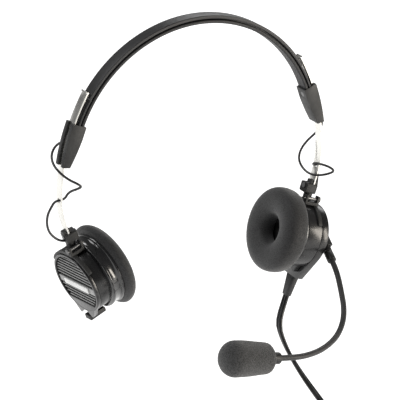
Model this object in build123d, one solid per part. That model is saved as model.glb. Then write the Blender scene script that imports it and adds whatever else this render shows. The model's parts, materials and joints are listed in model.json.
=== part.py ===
from build123d import *
import math
import os

# Lightweight aviation headset: a narrow sprung headband, two curved steel slider strips, two small
# on-ear phones with round cushions, a gooseneck boom microphone and a twin cord with two plugs.
# Millimetres, +Z up, the wearer faces -Y. The origin is on the inner face of the headband pad at
# the crown, where the head touches it. Turns are degrees from +Z towards +X (or, on the left
# side, towards -X), and every paired piece is built for the right side and mirrored for the left.

os.makedirs("parts", exist_ok=True)

# ---- driving dimensions ------------------------------------------------------------------------
head_radius = 83.0        # inner face of the headband pad
band_width = 9.0
pad_thickness = 2.2
groove_height = 0.7       # gap between pad and cover that the crossover wire fills
spring_thickness = 0.9
spring_width = 6.8
cover_thickness = 2.1
cover_recess = 0.8        # the cover is this much thinner where the strips lie over it
cover_full_turn = 57.5    # the thick part of the cover ends here
band_block_turn = 68.4    # the blocks start here

strip_radius = 127.2      # centreline of a slider strip
strip_width = 6.4
strip_thickness = 1.0
strip_lift = 1.2          # centreline of the strip above the cover's outer face at the block
strip_top_turn = 58.4
strip_bend_turn = 88.0    # the strip bends more sharply below this turn
strip_bend_radius = 60.0
ear_tilt = 18.0           # the lower end of a strip leans in by this much
strip_tail = 8.5          # straight end in the clevis
wire_hole_turn = {"left": 91.0, "right": 100.0}
slide_out = {"left": 2.0, "right": 1.2}     # how far each strip stands out of its block at rest
ear_swivel = {"left": 9.0, "right": 2.0}    # how far each phone is turned forward at rest

block_bottom_turn = 80.5
block_width = 9.8
block_lip = 1.1           # wall outside the strip
block_top_depth = 9.0
block_bottom_depth = 4.8
block_shoulder_turn = 72.0
slot_width = 3.8

case_radius = 20.5
case_wall = 1.6
case_front = 6.0          # inner end of the case, measured outwards from the cushion's seat
case_back = 16.6          # outer end
flange_radius = case_radius + 3.1
cushion_radius = case_radius + 7.5
cushion_thickness = 12.0
cushion_bore = 8.0
cushion_wrap = (-6.0, 3.0)  # the right cushion's skirt, along the phone's axis
cup_depth = 3.0           # the left flange's cup holds the cushion's back
cup_wall = 1.6
grille_thickness = 1.6
label_length = 24.5
label_height = 3.8
pivot_out = 10.5          # the swivel's axis, measured outwards from the cushion's seat
pivot_top = case_radius + 14.0  # top of the clevis above the phone's axis
clevis_foot = case_radius + 7.5
swivel_radius = 2.8
yoke_reach = 55.0         # the yoke's arms reach this far round the case

housing_depth = 5.4       # boom housing on the right phone
housing_radius = case_radius + 0.8
boom_pivot_up = 6.0
boom_dip = 26.0           # the boom leaves the swivel this far below horizontal
ferrule_radius = 2.9
ferrule_end = 30.0
neck_diameter = 3.6
windscreen_length = 35.0
windscreen_radius = 11.0

cord_width = 5.2          # twin cord, over both of its cores
cord_diameter = 0.75 * cord_width  # round section of the same area, for the plain tube
tail_diameter = 3.0
wire_diameter = 1.5
floor_level = -290.0

# ---- clearances --------------------------------------------------------------------------------
slide_gap = 0.08          # round a strip in its block
pin_gap = 0.05            # round a pin or shaft that turns
body_gap = 0.3            # between bodies that pass each other
seat_gap = 0.02           # between pieces of one body that lie in each other

# ---- places that follow from them --------------------------------------------------------------
pad_outer = head_radius + pad_thickness
cover_inner = pad_outer + groove_height
cover_outer = cover_inner + cover_thickness
recess_outer = cover_outer - cover_recess
band_centre = (0.0, -head_radius)


def polar(centre, radius, turn):
    """A point (x, z) on a circle, by its turn from +Z towards +X."""
    a = math.radians(turn)
    return centre[0] + radius * math.sin(a), centre[1] + radius * math.cos(a)


strip_contact = polar(band_centre, cover_outer, band_block_turn)
strip_centre = polar(strip_contact, -(strip_radius - strip_lift), band_block_turn)
bend_start = polar(strip_centre, strip_radius, strip_bend_turn)
bend_centre = polar(bend_start, -strip_bend_radius, strip_bend_turn)
bend_end = polar(bend_centre, strip_bend_radius, 90 + ear_tilt)
down = (-math.sin(math.radians(ear_tilt)), -math.cos(math.radians(ear_tilt)))
clevis_lead = 4.0         # straight strip between the bend and the clevis
clevis_top = (bend_end[0] + clevis_lead * down[0], bend_end[1] + clevis_lead * down[1])

# a phone's own frame: x outwards along its axis from the cushion's seat, z up along the strip
ear_origin = (
    clevis_top[0] + pivot_top * down[0] + pivot_out * down[1],
    clevis_top[1] + pivot_top * down[1] - pivot_out * down[0],
)


def slide(side):
    """Moves a strip and its phone along the strip's arc."""
    x, z = strip_centre
    turn = math.degrees(slide_out[side] / strip_radius)
    return Pos(x, 0, z) * Rot(0, turn, 0) * Pos(-x, 0, -z)


def ear(side):
    """Places a piece from the phone's own frame, for the right side."""
    swivel = Pos(pivot_out, 0, 0) * Rot(0, 0, -ear_swivel[side]) * Pos(-pivot_out, 0, 0)
    return slide(side) * Pos(ear_origin[0], 0, ear_origin[1]) * Rot(0, ear_tilt, 0) * swivel


def clevis_frame(side):
    """The phone's frame before its swivel, which carries the clevis."""
    return slide(side) * Pos(ear_origin[0], 0, ear_origin[1]) * Rot(0, ear_tilt, 0)


def sided(shape, side):
    """A right-hand shape, mirrored when it is for the left."""
    return mirror(shape, about=Plane.YZ) if side == "left" else shape


# ---- shapes ------------------------------------------------------------------------------------
def prism(edges, width, y=0.0):
    """A closed outline in the XZ plane, made `width` thick about the plane at y."""
    face = Face(Wire(edges))
    return Pos(0, y, 0) * extrude(face, amount=width / 2, dir=(0, 1, 0), both=True)


def polygon(points, width, y=0.0):
    corners = [(x, 0, z) for x, z in points]
    edges = [Line(a, b) for a, b in zip(corners, corners[1:] + corners[:1])]
    return prism(edges, width, y)


def arc(centre, radius, turn_a, turn_b):
    a, m, b = (polar(centre, radius, t) for t in (turn_a, (turn_a + turn_b) / 2, turn_b))
    return ThreePointArc((a[0], 0, a[1]), (m[0], 0, m[1]), (b[0], 0, b[1]))


def bar(centre, inner, outer, turn_a, turn_b, width, y=0.0):
    """A bar curved about a Y axis, between two radii and two turns."""
    low = arc(centre, inner, turn_a, turn_b)
    high = arc(centre, outer, turn_b, turn_a)
    edges = [low, Line(low @ 1, high @ 0), high, Line(high @ 1, low @ 0)]
    return prism(edges, width, y)


def rod(start, direction, radius, length):
    return Solid.make_cylinder(radius, length, Plane(origin=start, z_dir=direction))


def box(x, y, z):
    """A box between three pairs of limits."""
    size = [b - a for a, b in (x, y, z)]
    middle = [(a + b) / 2 for a, b in (x, y, z)]
    return Pos(*middle) * Box(*size)


def turned(points):
    """A profile of (x, r) points turned about the X axis."""
    corners = [(x, 0, r) for x, r in points]
    face = Face(Wire([Line(a, b) for a, b in zip(corners, corners[1:] + corners[:1])]))
    return revolve(face, Axis.X, 360)


def disc(x_a, x_b, radius, hole=0.0, y=0.0, z=0.0):
    ring = rod((x_a, y, z), (1, 0, 0), radius, x_b - x_a)
    if hole:
        ring = ring - rod((x_a - 1, y, z), (1, 0, 0), hole, x_b - x_a + 2)
    return ring


def teardrop(x_a, x_b, radius, half_width, depth):
    """The wedge that runs down from a round case to a flat foot."""
    reach = math.hypot(half_width, depth)
    lean = math.atan2(half_width, depth) + math.acos(radius / reach)
    touch = (radius * math.sin(lean), -radius * math.cos(lean))
    points = [(-touch[0], touch[1]), (-half_width, -depth), (half_width, -depth), touch, (0, 0)]
    corners = [(x_a, y, z) for y, z in points]
    face = Face(Wire([Line(a, b) for a, b in zip(corners, corners[1:] + corners[:1])]))
    return extrude(face, amount=x_b - x_a, dir=(1, 0, 0))


def tube(points, diameter, name):
    """Straight runs joined by tangent arcs, as large as the two runs at each corner allow."""
    p = [Vector(*q) for q in points]
    radii = []
    for before, here, after in zip(p, p[1:], p[2:]):
        turn = math.radians((here - before).get_angle(after - here))
        shorter = min((here - before).length, (after - here).length)
        radii.append(0.45 * shorter / math.tan(turn / 2))
    path = FilletPolyline(*p, radius=radii)
    print(name, "radii", [round(r, 1) for r in radii], "length", round(path.length, 1))
    section = Plane(origin=path @ 0, z_dir=path % 0) * Circle(diameter / 2)
    solid = sweep(section, path=path)
    ratio = solid.volume / (math.pi * diameter**2 / 4 * path.length)
    print(name, "volume against section times length", round(ratio, 4))
    return solid


def save(name, shape):
    export_step(shape, f"parts/{name}.step")


# ---- headband ----------------------------------------------------------------------------------
band_end_turn = 73.5
pocket_gap = 0.1


def headband_pad():
    pad = bar(band_centre, head_radius, pad_outer, -band_end_turn, band_end_turn, band_width)
    return pad - rivet_holes()


def headband_spring():
    low = cover_inner + seat_gap
    high = low + spring_thickness
    return bar(band_centre, low, high, -band_end_turn, band_end_turn, spring_width) - rivet_holes()


def headband_cover():
    thick = bar(band_centre, cover_inner, cover_outer, -cover_full_turn, cover_full_turn, band_width)
    thin = bar(band_centre, cover_inner, recess_outer, -band_end_turn, band_end_turn, band_width)
    channel = bar(
        band_centre,
        cover_inner - 1,
        cover_inner + spring_thickness + 2 * seat_gap,
        -band_end_turn - 1,
        band_end_turn + 1,
        spring_width + 2 * seat_gap,
    )
    return thick + thin - channel - rivet_holes()


def crossover_wire():
    """Two flat cores side by side, in the groove between pad and cover."""
    low, high = pad_outer + seat_gap, cover_inner - seat_gap
    flat = bar(band_centre, low, high, -band_end_turn, band_end_turn, 2 * wire_diameter)
    return flat - rivet_holes()


# ---- slider block ------------------------------------------------------------------------------
block_outer = strip_radius + strip_thickness / 2 + slide_gap + block_lip
gland_turn = 74.5
gland_depth = 5.2         # below the block's outer face
gland_length = 1.6
leaf_turns = (74.5, 79.0)
leaf_thickness = 0.35
leaf_room = 1.1
rivet_turn = 70.4


def slider_block():
    top, bottom, shoulder = band_block_turn, block_bottom_turn, block_shoulder_turn
    outer = arc(strip_centre, block_outer, top, bottom)
    foot = polar(strip_centre, block_outer - block_bottom_depth, bottom)
    knee = polar(strip_centre, block_outer - block_top_depth, shoulder)
    crown = polar(strip_centre, block_outer - block_top_depth, top)
    mid = polar(strip_centre, block_outer - 0.5 * (block_top_depth + block_bottom_depth) - 0.5, 76.6)
    taper = ThreePointArc((foot[0], 0, foot[1]), (mid[0], 0, mid[1]), (knee[0], 0, knee[1]))
    edges = [
        outer,
        Line(outer @ 1, taper @ 0),
        taper,
        Line(taper @ 1, (crown[0], 0, crown[1])),
        Line((crown[0], 0, crown[1]), outer @ 0),
    ]
    block = prism(edges, block_width)
    half = strip_thickness / 2 + slide_gap
    inner, clear = strip_radius - half, strip_radius + half
    channel = bar(strip_centre, inner, clear, top - 3, bottom + 3, strip_width + 2 * slide_gap)
    slot = bar(strip_centre, strip_radius, block_outer + 2, top - 3, bottom + 3, slot_width)
    pocket = bar(
        band_centre,
        head_radius - pocket_gap,
        recess_outer + pocket_gap,
        60,
        band_end_turn + 0.1,
        band_width + 2 * pocket_gap,
    )
    leaf = bar(strip_centre, inner - leaf_room, inner + 0.1, *leaf_turns, slot_width)
    hole = rod(*gland_place(), wire_diameter / 2 + seat_gap, 2 * block_width)
    return block - channel - slot - pocket - leaf - hole - rivet_hole()


def gland_place():
    x, z = polar(strip_centre, block_outer - gland_depth, gland_turn)
    return (x, 0, z), (0, 1, 0)


def wire_gland():
    """A small collar on the block's rear face, where the lead wire comes out."""
    (x, _, z), way = gland_place()
    collar = rod((x, block_width / 2, z), way, wire_diameter, gland_length)
    return collar - rod((x, 0, z), way, wire_diameter / 2 + seat_gap, block_width)


def friction_leaf():
    """A bowed leaf that presses on the strip, resting in the floor of its pocket."""
    low = strip_radius - strip_thickness / 2 - slide_gap - leaf_room
    a, b = leaf_turns
    top = strip_radius - strip_thickness / 2 - 0.03
    ends = [polar(strip_centre, low, t) for t in (a + 0.1, b - 0.1)]
    ends_up = [polar(strip_centre, low + leaf_thickness, t) for t in (a + 0.1, b - 0.1)]
    crest = polar(strip_centre, top, (a + b) / 2)
    under = polar(strip_centre, top - leaf_thickness, (a + b) / 2)

    def at(p):
        return (p[0], 0, p[1])

    edges = [
        ThreePointArc(at(ends[0]), at(under), at(ends[1])),
        Line(at(ends[1]), at(ends_up[1])),
        ThreePointArc(at(ends_up[1]), at(crest), at(ends_up[0])),
        Line(at(ends_up[0]), at(ends[0])),
    ]
    return prism(edges, slot_width - 0.4)


rivet_shank = 0.9
rivet_head = 1.7
rivet_head_depth = 0.6


def rivet_line(depth):
    """A point on the block rivet's axis, `depth` in from the block's inner face, and its way."""
    way = (math.sin(math.radians(rivet_turn)), 0, math.cos(math.radians(rivet_turn)))
    x, z = polar(strip_centre, block_outer - block_top_depth + depth, rivet_turn)
    return (x, 0, z), way


rivet_reach = block_top_depth - block_lip - strip_thickness - 2 * slide_gap - 0.3


def rivet_hole():
    head = rod(*rivet_line(-1), rivet_head + seat_gap, 1 + rivet_head_depth)
    return head + rod(*rivet_line(-1), rivet_shank + seat_gap, rivet_reach + 1 + seat_gap)


def rivet_holes():
    return rivet_hole() + sided(rivet_hole(), "left")


def block_rivet():
    """Ties the pad and spring into the block, with its head sunk in the inner face."""
    head = rod(*rivet_line(0), rivet_head, rivet_head_depth)
    return head + rod(*rivet_line(0), rivet_shank, rivet_reach)


# ---- slider strip and clevis -------------------------------------------------------------------
stop_rise = 1.4           # the strip's top end is turned out as a stop
wire_hole_radius = 1.5


def strip_band(half_width, turn_a, grow):
    """The strip's whole run, with its straight end, at half thickness `grow`."""
    inner, outer = strip_radius - grow, strip_radius + grow
    upper = bar(strip_centre, inner, outer, turn_a, strip_bend_turn, half_width * 2)
    lower = bar(
        bend_centre,
        strip_bend_radius - grow,
        strip_bend_radius + grow,
        strip_bend_turn,
        90 + ear_tilt,
        half_width * 2,
    )
    length = clevis_lead + strip_tail - 4.0
    tail = Pos(pivot_out, 0, pivot_top) * box((-grow, grow), (-half_width, half_width), (-length + 4.0, 4.0))
    place = Pos(ear_origin[0], 0, ear_origin[1]) * Rot(0, ear_tilt, 0)
    return upper + lower + place * tail


def hole_place(side):
    turn = wire_hole_turn[side]
    x, z = polar(bend_centre, strip_bend_radius, turn)
    way = (math.sin(math.radians(turn)), 0, math.cos(math.radians(turn)))
    return (x, 0, z), way


def slider_strip(side):
    strip = strip_band(strip_width / 2, strip_top_turn, strip_thickness / 2)
    a = strip_top_turn
    stop = bar(
        strip_centre,
        strip_radius,
        strip_radius + stop_rise,
        a,
        a + 0.45,
        strip_width,
    )
    (x, y, z), way = hole_place(side)
    start = (x - 3 * way[0], y, z - 3 * way[2])
    hole = rod(start, way, wire_hole_radius, 6)
    rivet = ear_free(clevis_rivet_hole())
    return slide(side) * (strip + stop - hole - rivet)


def ear_free(shape):
    """Places a shape from the phone's frame with no swivel or slide."""
    return Pos(ear_origin[0], 0, ear_origin[1]) * Rot(0, ear_tilt, 0) * shape


rivet_up = pivot_top - 2.2
rivet_radius = 1.0
clevis_inner = 5.4        # inner face of the clevis, outwards from the cushion's seat
clevis_outer = 13.2
clevis_width = 7.6


def clevis_rivet_hole():
    return rod((0, 0, rivet_up), (1, 0, 0), rivet_radius + seat_gap, 20)


def clevis():
    """Grips the strip between two cheeks, and turns on a round foot."""
    half = clevis_width / 2
    block = box((clevis_inner, clevis_outer), (-half, half), (clevis_foot, pivot_top))
    block = fillet(block.edges().filter_by(Axis.X), 1.2)
    cheek_y = (-half + 1.4, half - 1.4)
    cheek = box((pivot_out + 0.55, clevis_outer), cheek_y, (pivot_top - 1, pivot_top + 1.4))
    prong = box((pivot_out - 2.0, pivot_out - 0.55), cheek_y, (pivot_top - 1, pivot_top + 2.0))
    grow = strip_thickness / 2 + seat_gap
    wide = strip_width / 2 + seat_gap
    low = pivot_top - strip_tail + 4.0
    slot = box((pivot_out - grow, pivot_out + grow), (-wide, wide), (low, pivot_top + 9))
    foot_bottom = saddle_top + body_gap
    foot = rod((pivot_out, 0, foot_bottom), (0, 0, 1), swivel_radius, clevis_foot - foot_bottom)
    post = rod((pivot_out, 0, post_bottom), (0, 0, 1), post_radius, clevis_foot - post_bottom)
    return block + cheek + prong + foot + post - slot - clevis_rivet_hole() - clevis_wire_hole()


wire_entry = (clevis_outer, 0.0, pivot_top - 5.3)
wire_entry_depth = 1.4
wire_entry_rise = 12.0    # the wire goes in from above, this far from level


def wire_entry_way():
    rise = math.radians(wire_entry_rise)
    return (math.cos(rise), 0, math.sin(rise))


def clevis_wire_hole():
    x, y, z = wire_entry
    return rod((x - wire_entry_depth, y, z), wire_entry_way(), wire_diameter / 2 + seat_gap, 5)


def clevis_rivet():
    x_a, x_b = clevis_inner, clevis_outer
    shank = rod((x_a - 0.6, 0, rivet_up), (1, 0, 0), rivet_radius, x_b - x_a + 1.2)
    return shank + disc(x_a - 0.7, x_a, 1.7, z=rivet_up) + disc(x_b, x_b + 0.6, 1.7, z=rivet_up)


# ---- yoke --------------------------------------------------------------------------------------
saddle_top = case_radius + 2.7
saddle_bottom = case_radius + 0.7
post_radius = 1.5
post_bottom = case_radius + 0.4
yoke_in = case_radius + seat_gap
yoke_out = yoke_in + 1.9
rib_x = (13.0, 15.6)
lug_inner = (6.1, 7.5)
lug_outer = (14.8, 16.3)
lug_y = (-6.5, -2.95)
lug_top = case_radius + 6.9
pin_up = case_radius + 4.7
pin_forward = 4.6         # the stop pin passes in front of the swivel's foot
pin_radius = 1.0


def rib_sector():
    """The arms of the yoke, a slice of a ring with round ends."""
    ring = disc(rib_x[0], rib_x[1], yoke_out, yoke_in)
    reach = math.radians(yoke_reach)
    far = 2 * yoke_out
    points = [(0, 0), (-far * math.sin(reach), far * math.cos(reach)), (0, 2 * far)]
    points.append((far * math.sin(reach), far * math.cos(reach)))
    corners = [(rib_x[0] - 1, y, z) for y, z in points]
    face = Face(Wire([Line(a, b) for a, b in zip(corners, corners[1:] + corners[:1])]))
    arms = ring & extrude(face, amount=6, dir=(1, 0, 0))
    middle = (yoke_in + yoke_out) / 2
    for s in (-1, 1):
        y, z = s * middle * math.sin(reach), middle * math.cos(reach)
        arms = arms + rod((rib_x[0], y, z), (1, 0, 0), (yoke_out - yoke_in) / 2, rib_x[1] - rib_x[0])
    return arms


def yoke():
    saddle = box((lug_inner[0], lug_outer[1]), (lug_y[0], 5.0), (saddle_bottom, saddle_top))
    web = box((8.0, 15.6), (-4.0, 4.0), (case_radius - 0.6, saddle_bottom + 0.2))
    lugs = box(lug_inner, lug_y, (saddle_top - 0.5, lug_top))
    lugs = lugs + box(lug_outer, lug_y, (saddle_top - 0.5, lug_top))
    pin_hole = rod((0, -pin_forward, pin_up), (1, 0, 0), pin_radius + seat_gap, 30)
    post_hole = rod((pivot_out, 0, 0), (0, 0, 1), post_radius + pin_gap, 40)
    body = rib_sector() + saddle + web + lugs
    return body - disc(0, 20, yoke_in) - pin_hole - post_hole


def stop_pin():
    start = lug_inner[0] - 1.2
    shank = rod((start, -pin_forward, pin_up), (1, 0, 0), pin_radius, lug_outer[1] - start)
    head = rod((lug_outer[1], -pin_forward, pin_up), (1, 0, 0), 1.7, 0.9)
    return shank + head


# ---- phone -------------------------------------------------------------------------------------
bore_clear = case_radius - case_wall
ledge_x = case_back - grille_thickness - 0.6
lip_half_width = 6.0
lip_depth = 24.2
baffle_x = (1.0, 2.4)
baffle_radius = 19.0
basket_screw_radius = 16.2
screw_count = 3


def case():
    shell = turned(
        [
            (case_front, bore_clear),
            (case_front, case_radius),
            (case_back, case_radius),
            (case_back, bore_clear),
            (ledge_x, bore_clear),
            (ledge_x, bore_clear - 1.1),
            (ledge_x - 1.0, bore_clear - 1.1),
            (ledge_x - 2.0, bore_clear),
        ]
    )
    lip = teardrop(case_back - 3.6, case_back, case_radius, lip_half_width, lip_depth)
    return shell + (lip - disc(0, 30, case_radius - 0.4))


def flange(side):
    """The ring that carries the cushion and clips over the case. The left one is a deeper cup."""
    outer, inner = flange_radius, baffle_radius + seat_gap
    if side == "left":
        rim = [(0.0, inner), (0.0, outer - cup_wall), (-cup_depth, outer - cup_wall), (-cup_depth, outer)]
    else:
        rim = [(0.0, inner), (0.0, outer)]
    ring = turned(
        rim
        + [
            (1.2, outer),
            (1.8, outer - 0.9),
            (4.0, outer - 0.9),
            (4.6, outer - 0.2),
            (case_front, outer - 0.6),
            (case_front, bore_clear),
            (baffle_x[1] + 2.2, bore_clear),
            (baffle_x[1] + 2.2, inner),
        ]
    )
    return ring


def baffle():
    plate = disc(*baffle_x, baffle_radius)
    holes = [(0.0, 0.0)]
    holes += [(4.4 * math.cos(k * math.pi / 3), 4.4 * math.sin(k * math.pi / 3)) for k in range(6)]
    for y, z in holes:
        plate = plate - rod((0, y, z), (1, 0, 0), 1.3, 5)
    for y, z in screw_places():
        plate = plate - rod((0, y, z), (1, 0, 0), 0.8 + seat_gap, 5)
    return plate


def screw_places():
    turns = [math.radians(90 + k * 360 / screw_count) for k in range(screw_count)]
    return [(basket_screw_radius * math.cos(t), basket_screw_radius * math.sin(t)) for t in turns]


def driver_basket():
    back = baffle_x[1]
    shell = turned(
        [
            (back, 14.6),
            (back, 17.4),
            (back + 2.0, 17.4),
            (back + 4.4, 11.0),
            (back + 4.4, 8.0),
            (back + 3.4, 8.0),
            (back + 3.4, 10.4),
            (back + 1.4, 14.6),
        ]
    )
    for y, z in screw_places():
        shell = shell - rod((0, y, z), (1, 0, 0), 0.8 + seat_gap, 12)
    return shell


def driver_magnet():
    back = baffle_x[1] + 4.4
    return turned([(back, 0.0), (back, 10.4), (back + 4.6, 10.4), (back + 4.6, 0.0)])


def diaphragm():
    back = baffle_x[1] + 0.5
    return turned([(back, 0.0), (back, 14.58), (back + 0.3, 14.58), (back + 0.9, 6.0), (back + 0.9, 0.0)])


def driver_screws():
    screws = None
    for y, z in screw_places():
        screw = rod((baffle_x[0] - 0.6, y, z), (1, 0, 0), 1.6, 0.6)
        screw = screw + rod((baffle_x[0] - 0.6, y, z), (1, 0, 0), 0.8, 3.6)
        screws = screw if screws is None else screws + screw
    return screws


def cushion(side):
    """A leathery doughnut, plain here. The right one is drawn over its flange's edge."""
    middle = (cushion_radius + cushion_bore) / 2
    section = Pos(-cushion_thickness / 2, middle) * RectangleRounded(
        cushion_thickness, cushion_radius - cushion_bore, 4.8
    )
    ring = revolve(Plane.XZ * section, Axis.X, 360)
    if side == "left":
        return ring - disc(-cup_depth - seat_gap, 1, cushion_radius + 1, flange_radius - cup_wall - seat_gap)
    inner = flange_radius + seat_gap
    wrap = (cushion_wrap[0] + cushion_wrap[1], cushion_wrap[1] - cushion_wrap[0])
    skirt = Pos(wrap[0] / 2, (inner + cushion_radius - 0.5) / 2) * RectangleRounded(
        wrap[1], cushion_radius - 0.5 - inner, 1.5
    )
    return ring + revolve(Plane.XZ * skirt, Axis.X, 360)


slat_pitch = 2.3
slot_height = 1.0
grille_face = ledge_x + grille_thickness
label_up = -1.6
label_thickness = 0.9


def grille():
    plate = disc(ledge_x, grille_face, bore_clear - seat_gap)
    rows = [k for k in range(-7, 8) if k != 0]
    for k in rows:
        z = label_up + k * slat_pitch + math.copysign(1.0, k)
        reach = (bore_clear - 2.0) ** 2 - (abs(z) + slot_height / 2) ** 2
        if reach > 9:
            half = math.sqrt(reach)
            plate = plate - box((0, 30), (-half, half), (z - slot_height / 2, z + slot_height / 2))
    return plate


def label_plate():
    half = label_length / 2
    plate = box(
        (grille_face, grille_face + label_thickness),
        (-half, half),
        (label_up - label_height / 2, label_up + label_height / 2),
    )
    return plate


hook_width = 5.4
hook_thickness = 3.0
hook_bottom = -(case_radius + 7.1)
hook_reach = (4.6, case_back)  # from the arm's free end to the leg's outer face
hook_leg = 3.2


def cord_hook():
    """A hooked tab under the left phone."""
    free_end, outer = hook_reach
    inner, top = outer - hook_leg, -(case_radius - 0.6)
    leg = polygon([(inner, top), (outer, top), (outer, hook_bottom), (inner, hook_bottom)], hook_width)
    arm_top = hook_bottom + hook_thickness
    arm = polygon(
        [(free_end, hook_bottom), (outer, hook_bottom), (outer, arm_top), (free_end, arm_top)], hook_width
    )
    rounded = fillet((leg + arm).edges().filter_by(Axis.Y), 0.5)
    return rounded - case()


# ---- boom --------------------------------------------------------------------------------------
housing_x = (case_back, case_back + housing_depth)
housing_wall = 1.4
foot_half_width = 8.0
foot_depth = 28.0
boom_post_radius = 4.0
boom_post_length = 4.2
arm_reach = 18.6
ferrule_start = 11.0
swivel_disc_radius = 8.5
swivel_disc_depth = 3.4
arm_width = 7.4
boom_x = housing_x[1] + body_gap + ferrule_radius + 0.1


def boom_housing():
    a, b = housing_x
    body = disc(a, b, housing_radius) + teardrop(a, b, housing_radius, foot_half_width, foot_depth)
    hollow = disc(a - 1, b - housing_wall, housing_radius - housing_wall)
    post_hole = disc(a, b + 1, boom_post_radius + pin_gap, z=boom_pivot_up)
    edge = fillet(body.edges().group_by(Axis.X)[-1], 0.8)
    return edge - hollow - post_hole - boot_socket()


def housing_back_plate():
    """Closes the right case where the left one has its grille."""
    plate = disc(ledge_x, ledge_x + grille_thickness, bore_clear - seat_gap)
    return plate - disc(0, 30, 2.0, z=-8.0)


boom_way = (0.0, -math.cos(math.radians(boom_dip)), -math.sin(math.radians(boom_dip)))


def along_boom(reach):
    return (boom_x, reach * boom_way[1], boom_pivot_up + reach * boom_way[2])


def boom_swivel():
    a = housing_x[1] + body_gap
    plate = disc(a, a + swivel_disc_depth, swivel_disc_radius, z=boom_pivot_up)
    plate = fillet(plate.edges().group_by(Axis.X)[-1], 0.8)
    post = disc(a - boom_post_length, a + 0.5, boom_post_radius, z=boom_pivot_up)
    arm = Pos(0, 0, boom_pivot_up) * Rot(boom_dip, 0, 0) * box(
        (a, 2 * boom_x - a), (-arm_reach, 0), (-arm_width / 2, arm_width / 2)
    )
    socket = rod(along_boom(ferrule_start), boom_way, ferrule_radius + seat_gap, 40)
    return plate + post + arm - socket - boom_clip(seat_gap)


def boom_clip(grow=0.0):
    """Keeps the boom's post in its housing, in a groove cut `grow` larger."""
    a = housing_x[1] + body_gap - boom_post_length + 0.4
    inner = boom_post_radius - 0.6
    return disc(a - grow, a + 0.8 + grow, boom_post_radius + 2.0, inner - grow, z=boom_pivot_up)


def boom_ferrule():
    solid = rod(along_boom(ferrule_start), boom_way, ferrule_radius, ferrule_end - ferrule_start)
    groove = rod(along_boom(22.5), boom_way, ferrule_radius + 1, 1.2)
    groove = groove - rod(along_boom(22), boom_way, ferrule_radius - 0.5, 3)
    return solid - groove


# the gooseneck's route at rest, from the ferrule to the microphone
neck_route = [
    (83.6, -43.5, -172.6),
    (78.6, -57.5, -184.6),
    (66.5, -69.5, -191.6),
    (49.5, -79.0, -193.4),
    (32.0, -86.0, -191.2),
]
mic_start = Vector(9.0, -90.2, -185.6)
neck_lead = 8.0           # the neck runs straight out of the ferrule and into the collar
flex_at = 3               # the gooseneck is bent at this point of its route
flex_gap = 2.1
mic_way = Vector(-0.970, -0.062, 0.236).normalized()


def world(point, side="right"):
    """A point of the right phone's frame, at rest."""
    return (ear(side) * Pos(*point)).position


def flex_point():
    """The middle of the run before the bend's point, where the two halves of the neck meet."""
    a, b = Vector(*neck_route[flex_at - 1]), Vector(*neck_route[flex_at])
    return a + (b - a) * 0.5


def gooseneck_lower():
    start = [world(along_boom(ferrule_end + reach)) for reach in (0, neck_lead)]
    route = start + [Vector(*p) for p in neck_route[:flex_at]] + [flex_point()]
    body = tube(route, neck_diameter, "gooseneck_lower")
    ball = Pos(*flex_point()) * Sphere(neck_diameter / 2)
    return body + ball


def gooseneck_upper():
    middle = flex_point()
    first = Vector(*neck_route[flex_at])
    way = (first - middle).normalized()
    end = [mic_start - mic_way * neck_lead, mic_start]
    route = [middle + way * flex_gap] + [Vector(*p) for p in neck_route[flex_at:]] + end
    return tube(route, neck_diameter, "gooseneck_upper")


collar_radius = 3.6
collar_length = 7.6
capsule_radius = 4.6
capsule_length = 14.0


def mic_place(reach):
    return mic_start + mic_way * reach


def mic_collar():
    return rod(mic_place(0), mic_way, collar_radius, collar_length)


def mic_capsule():
    body = rod(mic_place(collar_length), mic_way, capsule_radius, capsule_length)
    return fillet(body.edges(), 0.8)


def windscreen():
    """Open-cell foam over the microphone."""
    length, radius = windscreen_length, windscreen_radius
    bore = capsule_radius + seat_gap
    depth = capsule_length + 0.5
    rim = (0, 0, radius * 0.70)
    edge = (1.8, 0, radius * 0.83)
    shoulder = (length - 0.88 * radius, 0, radius)
    tip = (length, 0, radius * 0.18)
    outline = [
        Line((0, 0, bore), rim),
        Line(rim, edge),
        ThreePointArc(edge, (length * 0.40, 0, radius * 0.95), shoulder),
        ThreePointArc(shoulder, (length - 0.24 * radius, 0, radius * 0.70), tip),
        Line(tip, (length, 0, 0)),
        Line((length, 0, 0), (depth, 0, 0)),
        Line((depth, 0, 0), (depth, 0, bore)),
        Line((depth, 0, bore), (0, 0, bore)),
    ]
    solid = revolve(Face(Wire(outline)), Axis.X, 360)
    across = mic_way.cross(Vector(0, 0, 1)).normalized()
    return Location(Plane(origin=mic_place(collar_length), x_dir=mic_way, z_dir=across)) * solid


# ---- cord --------------------------------------------------------------------------------------
boot_x = housing_x[1] - housing_depth / 2
boot_length = 14.0
boot_insert = 2.0


def boot_socket():
    return box((boot_x - 2.1, boot_x + 2.1), (-3.6, 3.6), (-foot_depth - 1, -foot_depth + boot_insert))


def cord_boot():
    """A tapered boot, pushed into the foot of the right phone."""
    plug = box(
        (boot_x - 2.1 + seat_gap, boot_x + 2.1 - seat_gap),
        (-3.6 + seat_gap, 3.6 - seat_gap),
        (-foot_depth - 0.5, -foot_depth + boot_insert - seat_gap),
    )
    top = Plane(origin=(boot_x, 0, -foot_depth), z_dir=(0, 0, -1)) * RectangleRounded(5.2, 9.6, 2.0)
    low = Plane(origin=(boot_x, 0, -foot_depth - boot_length), z_dir=(0, 0, -1)) * RectangleRounded(
        4.3, 6.4, 1.8
    )
    return plug + loft([top, low])


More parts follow.
